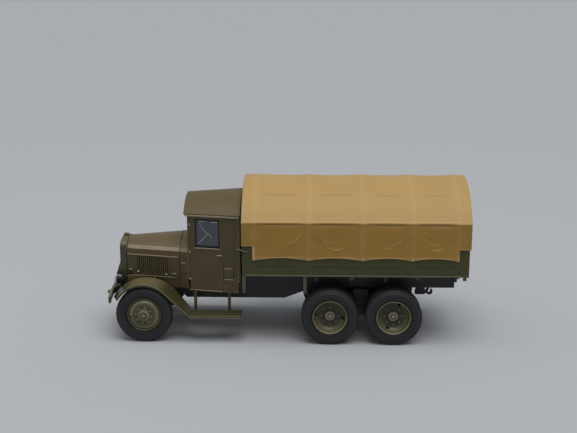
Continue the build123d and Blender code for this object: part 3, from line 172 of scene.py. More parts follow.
def makeTopLight():  # painted light: what faces up is made paler in soft patches, as if lit from above
    group, given, result = newGroup(
        "paintedTopLight",
        {"Colour": plainGrey, "Dust Colour": (0.4, 0.37, 0.3, 1), "Amount": 0.2, "Steepest": 0.2,
         "Flattest": 1.0, "Evenness": 0.0},
        ("Colour",),
    )
    look = topLightPatches
    shape = group.nodes.new("ShaderNodeNewGeometry")
    parts = group.nodes.new("ShaderNodeSeparateXYZ")
    group.links.new(shape.outputs["Normal"], parts.inputs[0])
    up = ramp(group, parts.outputs["Z"], given["Steepest"], given["Flattest"])
    patches = ramp(group, spots(group, look["scale"], look["detail"]), look["low"], look["high"])
    litShare = mathNode(group, "MULTIPLY", up, mathNode(group, "MAXIMUM", patches, given["Evenness"]))
    mask = mathNode(group, "MULTIPLY", litShare, given["Amount"])
    group.links.new(mixColour(group, mask, given["Colour"], given["Dust Colour"]), result["Colour"])
    return group


def makeWeave():  # plain weave of canvas, over and under threads
    group, given, result = newGroup("clothWeave", {"Thread Scale": 900.0}, ("Height",))
    place = group.nodes.new("ShaderNodeTexCoord")
    parts = group.nodes.new("ShaderNodeSeparateXYZ")
    group.links.new(place.outputs["Object"], parts.inputs[0])
    turns = mathNode(group, "MULTIPLY", given["Thread Scale"], 2 * pi)
    around = mathNode(group, "ADD", parts.outputs["Y"], parts.outputs["Z"])
    places = (parts.outputs["X"], around)
    waves = [mathNode(group, "SINE", mathNode(group, "MULTIPLY", place, turns)) for place in places]
    group.links.new(mathNode(group, "MULTIPLY", waves[0], waves[1]), result["Height"])
    return group


edgeWearAndPaintedLight = makeEdgeWearAndPaintedLight()
toneMottle = makeMottle()
fineGrain = makeFineGrain()
paintedTopLight = makeTopLight()
clothWeave = makeWeave()


def useGroup(tree, group, **values):
    node = tree.nodes.new("ShaderNodeGroup")
    node.node_tree = group
    for label, value in values.items():
        feed(tree, node.inputs[label.replace("_", " ")], value)
    return node.outputs


def newMaterial(name):
    material = bpy.data.materials.new(name)
    material.use_nodes = True
    return material, material.node_tree, material.node_tree.nodes["Principled BSDF"]


def feedShader(tree, shader, colour, grain, plain):  # the plain numbers go on the shader's own sockets
    tree.links.new(colour, shader.inputs["Base Color"])
    tree.links.new(grain["Roughness"], shader.inputs["Roughness"])
    for label, value in plain.items():
        shader.inputs[label].default_value = value


def addRelief(tree, shader, height, strength, depth):
    node = tree.nodes.new("ShaderNodeBump")
    node.inputs["Strength"].default_value = strength
    node.inputs["Distance"].default_value = depth * mm
    tree.links.new(height, node.inputs["Height"])
    tree.links.new(node.outputs["Normal"], shader.inputs["Normal"])


# what a paint, plastic, rubber or canvas has unless its own look says otherwise, with the depth in mm
# topLight paints light from above onto upward faces; paintedShade is the colour used for painted shade
plainLook = dict(
    tones=(dict(Scale=130.0, Amount=0.07),), topLight=0.1, topLightColour=(0.44, 0.34, 0.18, 1), steepest=0.2,
    flattest=1.0, evenness=0.7, wearLightShade=0.6, paintedShade=(0.014, 0.011, 0.008, 1), paintedShadeAmount=0.9, roughness=0.38,
    spread=0.1, grain=2600.0, relief=0.5, depth=0.012, specular=0.4,
)
surfaceLooks = {  # the edge colour shows where an edge is rubbed and where a highlight is painted
    "cabPaint": dict(colour=(0.072, 0.053, 0.022, 1), edge=(0.30, 0.24, 0.14, 1), topLight=0.2, specular=0.36),
    "bonnetPaint": dict(
        colour=(0.075, 0.050, 0.019, 1), edge=(0.40, 0.33, 0.23, 1), wearLightShade=0.62, topLight=0.19, specular=0.36,
    ),
    "radiatorPaint": dict(
        colour=(0.055, 0.054, 0.024, 1), edge=(0.30, 0.29, 0.21, 1), topLight=0.2, specular=0.38,
    ),
    "wingPaint": dict(
        colour=(0.052, 0.047, 0.018, 1), edge=(0.28, 0.26, 0.15, 1), topLight=0.3, steepest=0.78, roughness=0.33,
    ),
    "boardPaint": dict(
        colour=(0.042, 0.039, 0.015, 1), edge=(0.22, 0.21, 0.11, 1), wearLightShade=0.5, topLight=0.02, roughness=0.4,
    ),
    "roofPaint": dict(
        colour=(0.078, 0.057, 0.018, 1), edge=(0.27, 0.225, 0.155, 1), topLight=0.13, roughness=0.48,
        specular=0.3,
    ),
    "wheelPaint": dict(
        colour=(0.064, 0.060, 0.024, 1), edge=(0.34, 0.31, 0.22, 1), wearLightShade=0.85, roughness=0.33,
    ),
    "bedPaint": dict(
        colour=(0.056, 0.054, 0.020, 1), edge=(0.20, 0.20, 0.13, 1), topLight=0.12, roughness=0.5, spread=0.12,
        grain=2200.0, depth=0.02, specular=0.28,
    ),
    "railPaint": dict(
        colour=(0.076, 0.073, 0.042, 1), edge=(0.26, 0.26, 0.18, 1), roughness=0.42, grain=2200.0,
        depth=0.015, specular=0.35,
    ),
    "chassisBlack": dict(
        colour=(0.012, 0.012, 0.015, 1), edge=(0.07, 0.07, 0.075, 1), wearLightShade=0.5, topLight=0.05, roughness=0.42,
        spread=0.12, grain=2200.0, depth=0.02,
    ),
    "lampBlack": dict(
        colour=(0.009, 0.009, 0.011, 1), edge=(0.08, 0.08, 0.09, 1), wearLightShade=0.3, topLight=0.02, roughness=0.14,
        spread=0.05, grain=3000.0, depth=0.005, specular=0.7,
    ),
    "silverPaint": dict(
        colour=(0.44, 0.43, 0.40, 1), edge=(0.75, 0.74, 0.7, 1), topLight=0.0, roughness=0.25, spread=0.08,
        depth=0.005, specular=0.8,
    ),
    "latchGrey": dict(
        colour=(0.075, 0.073, 0.06, 1), edge=(0.27, 0.26, 0.22, 1), topLight=0.04, roughness=0.4, depth=0.01,
        specular=0.5,
    ),
    # painted highlight: the beads, drip rail, sills and hinges take a pale tan for the light they catch
    "beadTan": dict(
        colour=(0.20, 0.168, 0.10, 1), edge=(0.45, 0.41, 0.31, 1), wearLightShade=0.8, roughness=0.34, depth=0.01,
        specular=0.5,
    ),
    "boardBead": dict(
        colour=(0.085, 0.08, 0.035, 1), edge=(0.3, 0.28, 0.17, 1), wearLightShade=0.7, roughness=0.36, depth=0.01,
        specular=0.5,
    ),
    "jointDark": dict(
        colour=(0.007, 0.006, 0.005, 1), edge=(0.02, 0.018, 0.015, 1), wearLightShade=0.1, topLight=0.0, roughness=0.6,
        grain=2200.0, depth=0.01, specular=0.3,
    ),
    "trimBrown": dict(
        colour=(0.03, 0.022, 0.016, 1), edge=(0.1, 0.08, 0.06, 1), wearLightShade=0.3, topLight=0.05, roughness=0.6,
        grain=1800.0, depth=0.03, specular=0.35,
    ),
    "bowOlive": dict(
        colour=(0.07, 0.063, 0.032, 1), edge=(0.25, 0.22, 0.14, 1), wearLightShade=0.4, roughness=0.55, grain=2200.0,
        depth=0.02, specular=0.35,
    ),
    "tyreRubber": dict(
        colour=(0.0125, 0.0125, 0.0155, 1), edge=(0.075, 0.075, 0.08, 1),
        tones=(dict(Scale=200.0, Amount=0.12),),
        topLight=0.2, topLightColour=(0.1, 0.1, 0.105, 1), evenness=0.0, paintedShade=(0.002, 0.002, 0.002, 1),
        roughness=0.5, spread=0.12, grain=1900.0, relief=0.4, depth=0.03,
    ),
    "tiltCanvas": dict(
        colour=(0.30, 0.170, 0.036, 1), edge=(0.62, 0.43, 0.22, 1),
        tones=(dict(Scale=55.0, Amount=0.05), dict(Scale=900.0, Amount=0.04)),
        threads=1300.0, threadHeight=0.5, topLight=0.46,
        topLightColour=(0.65, 0.44, 0.185, 1), steepest=0.03, flattest=0.37, evenness=0.93,
        paintedShade=(0.10, 0.055, 0.012, 1), paintedShadeAmount=0.8, roughness=0.62, grain=1500.0, relief=0.35, depth=0.03,
        specular=0.2, sheen=0.1, sheenRoughness=0.5,
    ),
}


def makeSurface(name, given):
    look = {**plainLook, **given}
    material, tree, shader = newMaterial(name)
    coat = {"Colour": look["colour"]}
    for tone in look["tones"]:
        coat = useGroup(tree, toneMottle, Colour=coat["Colour"], **tone)
    # painted light: a paler colour on what faces up
    coat = useGroup(
        tree, paintedTopLight, Colour=coat["Colour"], Dust_Colour=look["topLightColour"], Amount=look["topLight"],
        Steepest=look["steepest"], Flattest=look["flattest"], Evenness=look["evenness"],
    )
    marks = tree.nodes.new("ShaderNodeAttribute")  # up to 1 where an edge is rubbed and where a highlight is painted, down to -1 where shade is painted
    marks.attribute_name = "wearLightShade"
    paleMark = marks.outputs["Fac"]
    shadeMark = mathNode(tree, "MULTIPLY", paleMark, -1.0)
    marked = ((look["edge"], paleMark, look["wearLightShade"]), (look["paintedShade"], shadeMark, look["paintedShadeAmount"]))
    for colour, mark, amount in marked:
        coat = useGroup(tree, edgeWearAndPaintedLight, Colour=coat["Colour"], Edge_Colour=colour, Edge=mark, Amount=amount)
    grain = useGroup(tree, fineGrain, Scale=look["grain"], Roughness=look["roughness"], Spread=look["spread"])
    height = grain["Height"]
    plain = {"Specular IOR Level": look["specular"]}
    if "threads" in look:
        weave = useGroup(tree, clothWeave, Thread_Scale=look["threads"])
        threads = mathNode(tree, "MULTIPLY", weave["Height"], look["threadHeight"])
        height = mathNode(tree, "ADD", threads, height)
        plain.update({"Sheen Weight": look["sheen"], "Sheen Roughness": look["sheenRoughness"]})
    feedShader(tree, shader, coat["Colour"], grain, plain)
    addRelief(tree, shader, height, look["relief"], look["depth"])
    return material


smoothLooks = {  # metals and glasses: tone and grain each say how fine and how strong
    "brightMetal": dict(
        colour=(0.66, 0.61, 0.51, 1), roughness=0.32, tone=(400.0, 0.08), grain=(3000.0, 0.12),
        plain={"Metallic": 1.0}, relief=(0.3, 0.005),
    ),
    "axleSteel": dict(
        colour=(0.5, 0.5, 0.52, 1), roughness=0.35, tone=(400.0, 0.08), grain=(3000.0, 0.12),
        plain={"Metallic": 1.0}, relief=(0.3, 0.005),
    ),
    "windowGlass": dict(
        colour=(0.085, 0.098, 0.125, 1), roughness=0.12, tone=(150.0, 0.03), grain=(300.0, 0.02),
        plain={"Transmission Weight": 0.35, "IOR": 1.45},
    ),
    "lampGlass": dict(
        colour=(0.8, 0.82, 0.85, 1), roughness=0.03, tone=(150.0, 0.03), grain=(300.0, 0.02),
        plain={"Transmission Weight": 1.0, "IOR": 1.45},
    ),
}


def makeSmooth(name, look):
    material, tree, shader = newMaterial(name)
    (toneScale, toneAmount), (grainScale, spread) = look["tone"], look["grain"]
    tone = useGroup(tree, toneMottle, Colour=look["colour"], Scale=toneScale, Amount=toneAmount)
    grain = useGroup(tree, fineGrain, Scale=grainScale, Roughness=look["roughness"], Spread=spread)
    feedShader(tree, shader, tone["Colour"], grain, look["plain"])
    if "relief" in look:
        addRelief(tree, shader, grain["Height"], *look["relief"])
    return material


finishes = {}
for maker, looks in ((makeSurface, surfaceLooks), (makeSmooth, smoothLooks)):
    finishes.update({name: maker(name, look) for name, look in looks.items()})
print("materials made")


# mesh helpers

def finishPiece(name, bm, finish, body, smooth=smoothAngle, replaced=()):
    mesh = bpy.data.meshes.new(name)
    bmesh.ops.recalc_face_normals(bm, faces=bm.faces)
    bm.to_mesh(mesh)
    bm.free()
    if "custom_normal" in mesh.attributes:
        mesh.attributes.remove(mesh.attributes["custom_normal"])
    mesh.materials.append(finishes[finish])
    for polygon in mesh.polygons:
        polygon.use_smooth = True
        polygon.material_index = 0
    mesh.set_sharp_from_angle(angle=radians(smooth))
    piece = bpy.data.objects.new(name, mesh)
    bpy.context.scene.collection.objects.link(piece)
    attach(piece, body)
    if replaced:
        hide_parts(*replaced)
    return piece


def addBar(bm, corners):  # eight corners, the last of the three axes changing fastest
    verts = [bm.verts.new(corner) for corner in corners]
    for sides in ((0, 1, 3, 2), (4, 6, 7, 5), (0, 4, 5, 1), (2, 3, 7, 6), (0, 2, 6, 4), (1, 5, 7, 3)):
        bm.faces.new([verts[k] for k in sides])


def roundEdges(bm, edges, radius, steps=2):  # the new faces are marked as rubbed
    wearLightShade = bm.faces.layers.float.new("wearLightShade")
    rounded = bmesh.ops.bevel(
        bm, geom=edges, offset=radius * mm, segments=steps, profile=0.5, affect="EDGES", clamp_overlap=True,
    )
    for face in rounded["faces"]:
        face[wearLightShade] = 1.0
    return wearLightShade


def circle(count):  # cosine and sine of evenly spaced turns
    return [(cos(2 * pi * k / count), sin(2 * pi * k / count)) for k in range(count)]


def addLathe(bm, profile, centre, axis, segments):
    axis = Vector(axis).normalized()  # the profile lists place along the axis, radius and mark
    wearLightShade = bm.verts.layers.float.get("wearLightShade") or bm.verts.layers.float.new("wearLightShade")
    side = axis.orthogonal().normalized()
    up = axis.cross(side)
    rings = []
    for along, radius, mark in profile:
        middle = Vector(centre) + axis * along * mm
        turns = circle(segments) if radius else [(1.0, 0.0)]
        rings.append([bm.verts.new(middle + (side * c + up * s) * radius * mm) for c, s in turns])
        for vert in rings[-1]:
            vert[wearLightShade] = mark
    for one, two in zip(rings, rings[1:]):
        for k in range(segments):
            a, b = one[k % len(one)], one[(k + 1) % len(one)]
            c, d = two[(k + 1) % len(two)], two[k % len(two)]
            corners = list(dict.fromkeys((a, b, c, d)))  # a point on the axis stands for two of them
            if len(corners) > 2:
                bm.faces.new(corners)


steep = 0.9  # a rod more upright than this is turned about the truck's width


def addTube(bm, places, radius, sides=10, mark=0.0):  # a round rod along a line of places
    wearLightShade = bm.faces.layers.float.get("wearLightShade") or bm.faces.layers.float.new("wearLightShade")
    points = [Vector(place) for place in places]
    rings = []
    for k, point in enumerate(points):
        along = (points[min(k + 1, len(points) - 1)] - points[max(k - 1, 0)]).normalized()
        across = along.cross(Vector((0, 0, 1) if abs(along.z) < steep else (0, 1, 0))).normalized()
        up = across.cross(along)
        rings.append([bm.verts.new(point + (across * c + up * s) * radius * mm) for c, s in circle(sides)])
    for one, two in zip(rings, rings[1:]):
        for j in range(sides):
            bm.faces.new((one[j], one[(j + 1) % sides], two[(j + 1) % sides], two[j]))[wearLightShade] = mark
    bm.faces.new(rings[0])
    bm.faces.new(list(reversed(rings[-1])))


# camera, floor and light

view = dict(
    back=75.9, y=425.0, z=152.6, pitch=13.2, yaw=1.55, focalPixels=940.0, pixelsAcross=577.0, sensor=36.0,
    nearest=0.01, farthest=50.0,
)


def makeCamera():
    data = bpy.data.cameras.new("camera")
    data.sensor_width = view["sensor"]
    data.lens = view["focalPixels"] / view["pixelsAcross"] * view["sensor"]
    data.clip_start = view["nearest"]
    data.clip_end = view["farthest"]
    camera = bpy.data.objects.new("camera", data)
    pitch, yaw = radians(view["pitch"]), radians(view["yaw"])
    direction = Vector((sin(yaw) * cos(pitch), -cos(yaw) * cos(pitch), -sin(pitch)))
    camera.location = (ahead(view["back"]), view["y"] * mm, view["z"] * mm)
    camera.rotation_euler = direction.to_track_quat("-Z", "Y").to_euler()
    bpy.context.scene.collection.objects.link(camera)
    bpy.context.scene.camera = camera


room = dict(reach=30.0, colour=(0.455, 0.465, 0.48, 1), roughness=0.9, specular=0.1)


def makeFloor():  # a plain pale floor that fills the picture
    reach = room["reach"]
    bm = bmesh.new()
    bm.faces.new([bm.verts.new((x * reach, y * reach, 0.0)) for x, y in ((-1, -1), (1, -1), (1, 1), (-1, 1))])
    mesh = bpy.data.meshes.new("floor")
    bm.to_mesh(mesh)
    bm.free()
    material, tree, shader = newMaterial("floorPaper")
    shader.inputs["Base Color"].default_value = room["colour"]
    shader.inputs["Roughness"].default_value = room["roughness"]
    shader.inputs["Specular IOR Level"].default_value = room["specular"]
    mesh.materials.append(material)
    floor = bpy.data.objects.new("floor", mesh)
    bpy.context.scene.collection.objects.link(floor)


light = dict(
    sunPower=1.72, sunSpread=50.0, sunFrom=(-0.14, 0.28, 1.0), skyColour=(0.93, 0.965, 1.0, 1), skyPower=0.38,
    sheetPower=0.35, sheetSize=(0.4, 0.16), sheetPlace=(0.08, 0.10, 0.60),
)


def makeLight():
    sun = bpy.data.lights.new("softSun", "SUN")
    sun.energy = light["sunPower"]
    sun.angle = radians(light["sunSpread"])
    sheet = bpy.data.lights.new("sheetLamp", "AREA")
    sheet.shape = "RECTANGLE"
    sheet.size, sheet.size_y = light["sheetSize"]
    sheet.energy = light["sheetPower"]
    for data, place in ((sun, light["sunFrom"]), (sheet, light["sheetPlace"])):
        lamp = bpy.data.objects.new(data.name, data)
        lamp.location = place
        lamp.rotation_euler = (-Vector(place)).to_track_quat("-Z", "Y").to_euler()
        bpy.context.scene.collection.objects.link(lamp)
    world = bpy.data.worlds.new("studio")
    world.use_nodes = True
    sky = world.node_tree.nodes["Background"].inputs
    sky["Color"].default_value = light["skyColour"]
    sky["Strength"].default_value = light["skyPower"]
    bpy.context.scene.world = world
    bpy.context.scene.view_settings.view_transform = "Standard"


makeCamera()
makeFloor()
makeLight()
print("camera, floor and lamps placed")


# carried-over solids with their edges rounded

# painted highlight: the lower edges of the bonnet top and cowl are made paler where their curve catches the
# light
litLowerBand = dict(widths={"bonnet_top": 1.9, "cowl": 1.9}, mark=0.8, atEnd=0.5, flattest=0.5)  # widths in mm
sortAlong = Vector((1.0, 7.1, 3.3))  # a slanting direction, so that hardly any two points lie level in it


def settleOrder(bm):  # a cut leaves its points and faces in an order that changes from run to run
    bm.verts.sort(key=lambda vert: vert.co.dot(sortAlong))
    bm.edges.sort(key=lambda edge: (edge.verts[0].co + edge.verts[1].co).dot(sortAlong))
    bm.faces.sort(key=lambda face: face.calc_center_median().dot(sortAlong))


def paintLitLowerBand(bm, wearLightShade, band):  # painted highlight along the lower edges of a sloping top
    front, rear = max(v.co.x for v in bm.verts), min(v.co.x for v in bm.verts)
    wide = []
    for x in (front, rear):
        end = [v.co.y for v in bm.verts if abs(v.co.x - x) < litLowerBand["atEnd"] * mm]
        wide.append(max(end) - band * mm)
    for side in bothSides:
        along = Vector((rear - front, side * (wide[1] - wide[0]), 0.0))
        cut = Vector((-along.y, along.x, 0.0)).normalized()
        everything = bm.verts[:] + bm.edges[:] + bm.faces[:]
        corner = (front, side * wide[0], 0.0)
        bmesh.ops.bisect_plane(bm, geom=everything, dist=1e-7, plane_co=corner, plane_no=cut)
        settleOrder(bm)
    for face in bm.faces:
        middle = face.calc_center_median()
        limit = between(wide[0], wide[1], (front - middle.x) / (front - rear))
        if abs(middle.y) > limit and face.normal.z > litLowerBand["flattest"]:
            face[wearLightShade] = max(face[wearLightShade], litLowerBand["mark"])


softening = dict(merge=0.002, flat=0.7, sharpest=28.0)  # mm apart, then degrees left out and rounded


def softened(node, finish, edge):
    bm = bmesh.new()  # a copy of the solid, cleaned and given round edges, stands for the node
    bm.from_mesh(nodes[node].data)
    bmesh.ops.remove_doubles(bm, verts=bm.verts, dist=softening["merge"] * mm)
    bmesh.ops.dissolve_limit(bm, angle_limit=radians(softening["flat"]), verts=bm.verts, edges=bm.edges)
    sharpest = radians(softening["sharpest"])
    crisp = [e for e in bm.edges if len(e.link_faces) == 2 and e.calc_face_angle(0.0) > sharpest]
    wearLightShade = roundEdges(bm, crisp, edge)
    if node in litLowerBand["widths"]:
        paintLitLowerBand(bm, wearLightShade, litLowerBand["widths"][node])
    piece = finishPiece(node + "_soft", bm, finish, "truck", replaced=(node,))
    weighted = piece.modifiers.new("evenShading", "WEIGHTED_NORMAL")
    weighted.keep_sharp = True


softNodes = (  # node, finish, record slot, edge radius in mm
    ("cab_roof", "roofPaint", "cab_paint", 0.14),
    ("cab_front", "cabPaint", "cab_paint", 0.12),
    ("cab_back", "cabPaint", "cab_paint", 0.12),
    ("doors", "cabPaint", "cab_paint", 0.14),
    ("cab_quarters", "cabPaint", "cab_paint", 0.12),
    ("cowl", "cabPaint", "cab_paint", 0.12),
    ("bonnet_top", "bonnetPaint", "cab_paint", 0.14),
    ("bonnet_sides", "cabPaint", "cab_paint", 0.10),
    ("radiator_shell", "radiatorPaint", "radiator_paint", 0.35),
    ("front_apron", "radiatorPaint", "radiator_paint", 0.15),
    ("wings", "wingPaint", "wing_paint", 0.14),
    ("running_boards", "boardPaint", "wing_paint", 0.12),
    ("front_bumper", "wingPaint", "wing_paint", 0.15),
    ("bed_sides", "bedPaint", "bed_paint", 0.08),
    ("bed_front_board", "bedPaint", "bed_paint", 0.1),
    ("tailgate", "bedPaint", "bed_paint", 0.08),
    ("bed_floor", "bedPaint", "bed_paint", 0.1),
    ("bed_struts", "railPaint", "bed_paint", 0.12),
    ("bed_bearers", "chassisBlack", "bed_paint", 0.12),
    ("frame_rails", "chassisBlack", "chassis_paint", 0.14),
    ("frame_crossmembers", "chassisBlack", "chassis_paint", 0.1),
    ("tow_hooks", "chassisBlack", "chassis_paint", 0.12),
    ("engine_block", "chassisBlack", "chassis_paint", 0.3),
    ("gearbox", "chassisBlack", "chassis_paint", 0.25),
    ("front_axle_beam", "chassisBlack", "chassis_paint", 0.12),
    ("front_springs", "chassisBlack", "chassis_paint", 0.06),
    ("bogie_springs", "chassisBlack", "chassis_paint", 0.06),
    ("seat", "trimBrown", "cab_trim", 0.4),
    ("cab_floor", "trimBrown", "cab_trim", 0.1),
)
for node, finish, slot, edge in softNodes:
    softened(node, finish, edge)

plainNodes = {  # node and finish of the solids that stay as they are
    "radiator_core": "chassisBlack", "drive_shafts": "chassisBlack", "rear_axle_housings": "chassisBlack",
    "headlights": "lampBlack", "headlight_lenses": "lampGlass", "window_glass": "windowGlass",
    "steering_wheel": "trimBrown", "tilt_bows": "bowOlive", "front_axle_pin": "axleSteel",
    "middle_axle_pin": "axleSteel", "rear_axle_pin": "axleSteel",
}
for node, finish in plainNodes.items():
    nodes[node].data.materials.clear()
    nodes[node].data.materials.append(finishes[finish])
print("solids finished")


# trims on the cab, bonnet and bed: places are stations behind the front axle and heights, in mm

endReach = 0.4  # how near to a solid's end a point counts as on it, in mm
railFace = 11.4  # the outer face of the frame rails beside the bonnet


def outerLine(node):  # how far out a slanted side lies at a station, taken from the solid itself
    points = [vertex.co for vertex in nodes[node].data.vertices]
    front, rear = max(p.x for p in points), min(p.x for p in points)
    ends = [max(p.y for p in points if abs(p.x - x) < endReach * mm) for x in (front, rear)]
    return lambda back: between(ends[0], ends[1], (front - ahead(back)) / (front - rear)) / mm


def railLine(back):
    return railFace


cabLine, bonnetLine, cowlLine = outerLine("doors"), outerLine("bonnet_sides"), outerLine("cowl")
bedLine, roofLine, boardLine = outerLine("bed_struts"), outerLine("cab_roof"), outerLine("running_boards")
paneFrame = (
    (22.75, 23.35, 42.45, 55.3, 0.06, 0.7), (33.5, 34.0, 42.45, 55.3, 0.06, 0.7),
    (22.75, 34.0, 42.3, 43.15, 0.06, 0.7), (22.75, 34.0, 54.85, 55.4, 0.06, 0.7),
)
louvreGaps = tuple((-4.9 + 0.95 * k, -4.55 + 0.95 * k, 29.5, 36.0, 0.06, 0.2) for k in range(16))
boardGrooves = tuple(
    (front, rear, low, high, 0.0, 0.3)
    for front, rear in ((50.5, 72.7), (75.3, 96.3), (98.9, 118.3), (120.9, 138.7))
    for low, high in ((36.25, 36.55), (32.95, 33.15))
)
postCaps = tuple((back - 1.15, back + 1.15, 32.05, 32.9, 0.5, 0.1) for back in (74.0, 97.6, 119.6))
# piece, finish, record slot, edge radius, line of the side, and then the bars:
# front and rear station, low, high, how far proud of the line and how far buried behind it
barTrims = (
    ("roof_drip", "beadTan", "cab_paint", 0.14, roofLine, ((18.1, 42.9, 56.65, 57.35, 0.12, 0.5),)),
    ("door_hinges", "beadTan", "cab_paint", 0.12, cabLine, (
        (19.8, 20.5, 26.7, 27.7, 0.3, 0.3), (19.8, 20.5, 39.5, 40.5, 0.3, 0.3),
        (19.8, 20.5, 52.2, 53.2, 0.3, 0.3),
    )),
    ("door_sills", "beadTan", "cab_paint", 0.1, cabLine, ((22.5, 34.0, 41.75, 42.2, 0.35, 0.3),)),
    ("door_handles", "brightMetal", "axle_steel", 0.12, cabLine, (
        (32.7, 35.0, 39.0, 39.45, 0.75, 0.0), (34.3, 34.8, 38.95, 39.5, 0.5, 0.4),
    )),
    ("door_foot_beads", "beadTan", "cab_paint", 0.08, cabLine, ((19.9, 35.2, 22.0, 22.35, 0.22, 0.3),)),
    ("window_gaskets", "jointDark", "cab_trim", 0.06, cabLine, paneFrame),
    ("quarter_hatch_beads", "beadTan", "cab_paint", 0.08, cabLine, (
        (36.3, 39.6, 33.0, 33.35, 0.2, 0.3), (35.9, 40.4, 27.9, 28.25, 0.25, 0.3),
    )),
    ("quarter_hatch_lids", "cabPaint", "cab_paint", 0.1, cabLine, ((36.1, 39.9, 28.5, 32.8, 0.12, 0.3),)),
    ("quarter_hatch_grooves", "jointDark", "cab_trim", 0.04, cabLine, (
        (39.95, 40.3, 28.3, 32.9, 0.05, 0.3), (35.7, 35.95, 28.3, 32.9, 0.03, 0.3),
    )),
    ("cowl_beads", "beadTan", "cab_paint", 0.08, cowlLine, ((15.75, 18.0, 34.2, 34.6, 0.25, 0.3),)),
    ("cowl_grooves", "jointDark", "cab_trim", 0.04, cowlLine, ((15.75, 18.7, 29.45, 29.75, 0.03, 0.3),)),
    ("bonnet_beads", "beadTan", "cab_paint", 0.06, bonnetLine, (
        (-9.6, 14.9, 36.8, 37.15, 0.34, 0.1), (-7.4, 13.6, 27.15, 27.45, 0.32, 0.1),
    )),
    ("bonnet_valances", "cabPaint", "cab_paint", 0.04, railLine, (
        (-9.4, 4.6, 24.4, 27.12, 0.12, 0.05), (-9.4, 4.6, 26.95, 27.12, 0.12, 2.5),
    )),
    ("louvre_gaps", "jointDark", "cab_trim", 0.02, bonnetLine, louvreGaps),
    ("bonnet_panel_slots", "jointDark", "cab_trim", 0.02, bonnetLine, (
        (-9.7, 15.0, 27.5, 27.75, 0.05, 0.2),
    )),
    ("board_edges", "boardBead", "wing_paint", 0.08, boardLine, (
        (20.4, 43.5, 11.85, 12.2, 0.08, 0.3), (20.4, 43.5, 12.75, 13.0, 0.06, 0.3),
    )),
    ("bonnet_latches", "brightMetal", "axle_steel", 0.14, bonnetLine, (
        (-9.1, -7.3, 29.65, 30.15, 0.55, 0.2), (-5.0, -4.0, 28.5, 29.5, 0.5, 0.2),
        (8.2, 9.4, 28.1, 29.0, 0.5, 0.2), (11.7, 13.3, 28.85, 29.35, 0.55, 0.2),
    )),
    ("bonnet_latch_seats", "jointDark", "cab_trim", 0.08, bonnetLine, (
        (-5.3, -3.7, 28.1, 28.55, 0.12, 0.2), (7.9, 9.7, 27.7, 28.15, 0.12, 0.2),
    )),
    ("bed_grooves", "jointDark", "bed_paint", 0.03, bedLine, boardGrooves),
    ("bed_foot_beads", "railPaint", "bed_paint", 0.12, bedLine, ((46.0, 141.5, 32.12, 32.8, 0.4, 0.1),)),
    ("bed_post_caps", "railPaint", "bed_paint", 0.1, bedLine, postCaps),
    ("bed_corner_feet", "bedPaint", "bed_paint", 0.1, bedLine, (
        (141.9, 143.4, 30.6, 33.0, 0.2, 0.9), (139.0, 140.1, 31.4, 33.0, 0.2, 0.9),
    )),
)


def makeBarTrims():
    for name, finish, slot, edge, line, bars in barTrims:
        bm = bmesh.new()
        for first, last, low, high, proud, buried in bars:
            for side in bothSides:
                addBar(bm, [
                    (ahead(back), side * (line(back) + out) * mm, z * mm)
                    for back in (first, last) for out in (-buried, proud) for z in (low, high)
                ])
        roundEdges(bm, list(bm.edges), edge)
        finishPiece(name, bm, finish, "truck")


bonnetJoints = dict(  # bands are stations and widths in mm, grow is their outer and inner size
    around=("bonnet_top", "bonnet_sides"), bands=((-9.95, 0.34), (15.24, 0.36)), grow=(1.003, 0.97),
    foot=27.0, reach=0.05,
)


def upperHull(outline):  # from the right side over the crown to the left
    upper = []
    for y, z in outline:
        while len(upper) > 1:
            (y0, z0), (y1, z1) = upper[-2:]
            if (y1 - y0) * (z - z0) < (z1 - z0) * (y - y0):
                break
            upper.pop()
        upper.append((y, z))
    return upper


def makeJointBands():  # the dark gaps before and behind the bonnet
    look = bonnetJoints
    foot = look["foot"]
    points = [vertex.co for node in look["around"] for vertex in nodes[node].data.vertices]
    bm = bmesh.new()
    for back, width in look["bands"]:
        near = min(abs(p.x - ahead(back)) for p in points) + look["reach"] * mm
        section = [p for p in points if abs(p.x - ahead(back)) < near]
        upper = upperHull(sorted({(round(p.y / mm, 2), round(p.z / mm, 2)) for p in section}))
        upper = [(upper[0][0], foot)] + upper + [(upper[-1][0], foot)]
        rings = [
            [bm.verts.new((x, y * grow * mm, between(foot, z, grow) * mm)) for y, z in upper]
            for x in (ahead(back - width / 2), ahead(back + width / 2)) for grow in look["grow"]
        ]
        for one, two in ((0, 1), (1, 3), (3, 2), (2, 0)):
            for k in range(len(upper) - 1):
                bm.faces.new((rings[one][k], rings[one][k + 1], rings[two][k + 1], rings[two][k]))
        for k in (0, -1):
            bm.faces.new((rings[0][k], rings[1][k], rings[3][k], rings[2][k]))
    finishPiece("bonnet_joints", bm, "jointDark", "truck")


bedLever = dict(  # bridges the gap between the cab's rear edge and the bed's front corner
    places=((42.3, 44.35), (43.6, 44.3), (44.6, 43.75), (45.6, 43.45), (47.2, 43.3)), out=0.42, radius=0.32,
)


def makeBedLevers():
    bm = bmesh.new()
    for side in bothSides:
        y = side * (bedLine(bedLever["places"][0][0]) + bedLever["out"]) * mm
        addTube(bm, [(ahead(back), y, z * mm) for back, z in bedLever["places"]], bedLever["radius"])
    finishPiece("bed_levers", bm, "latchGrey", "truck", smooth=50)


wingEdge = dict(
    radius=13.7, middle=13.4, frontAngle=150.0, rearAngle=42.0, steps=40, foot=(20.2, 12.6), out=25.98,
    lip=0.3, sides=12, mark=0.5,
)


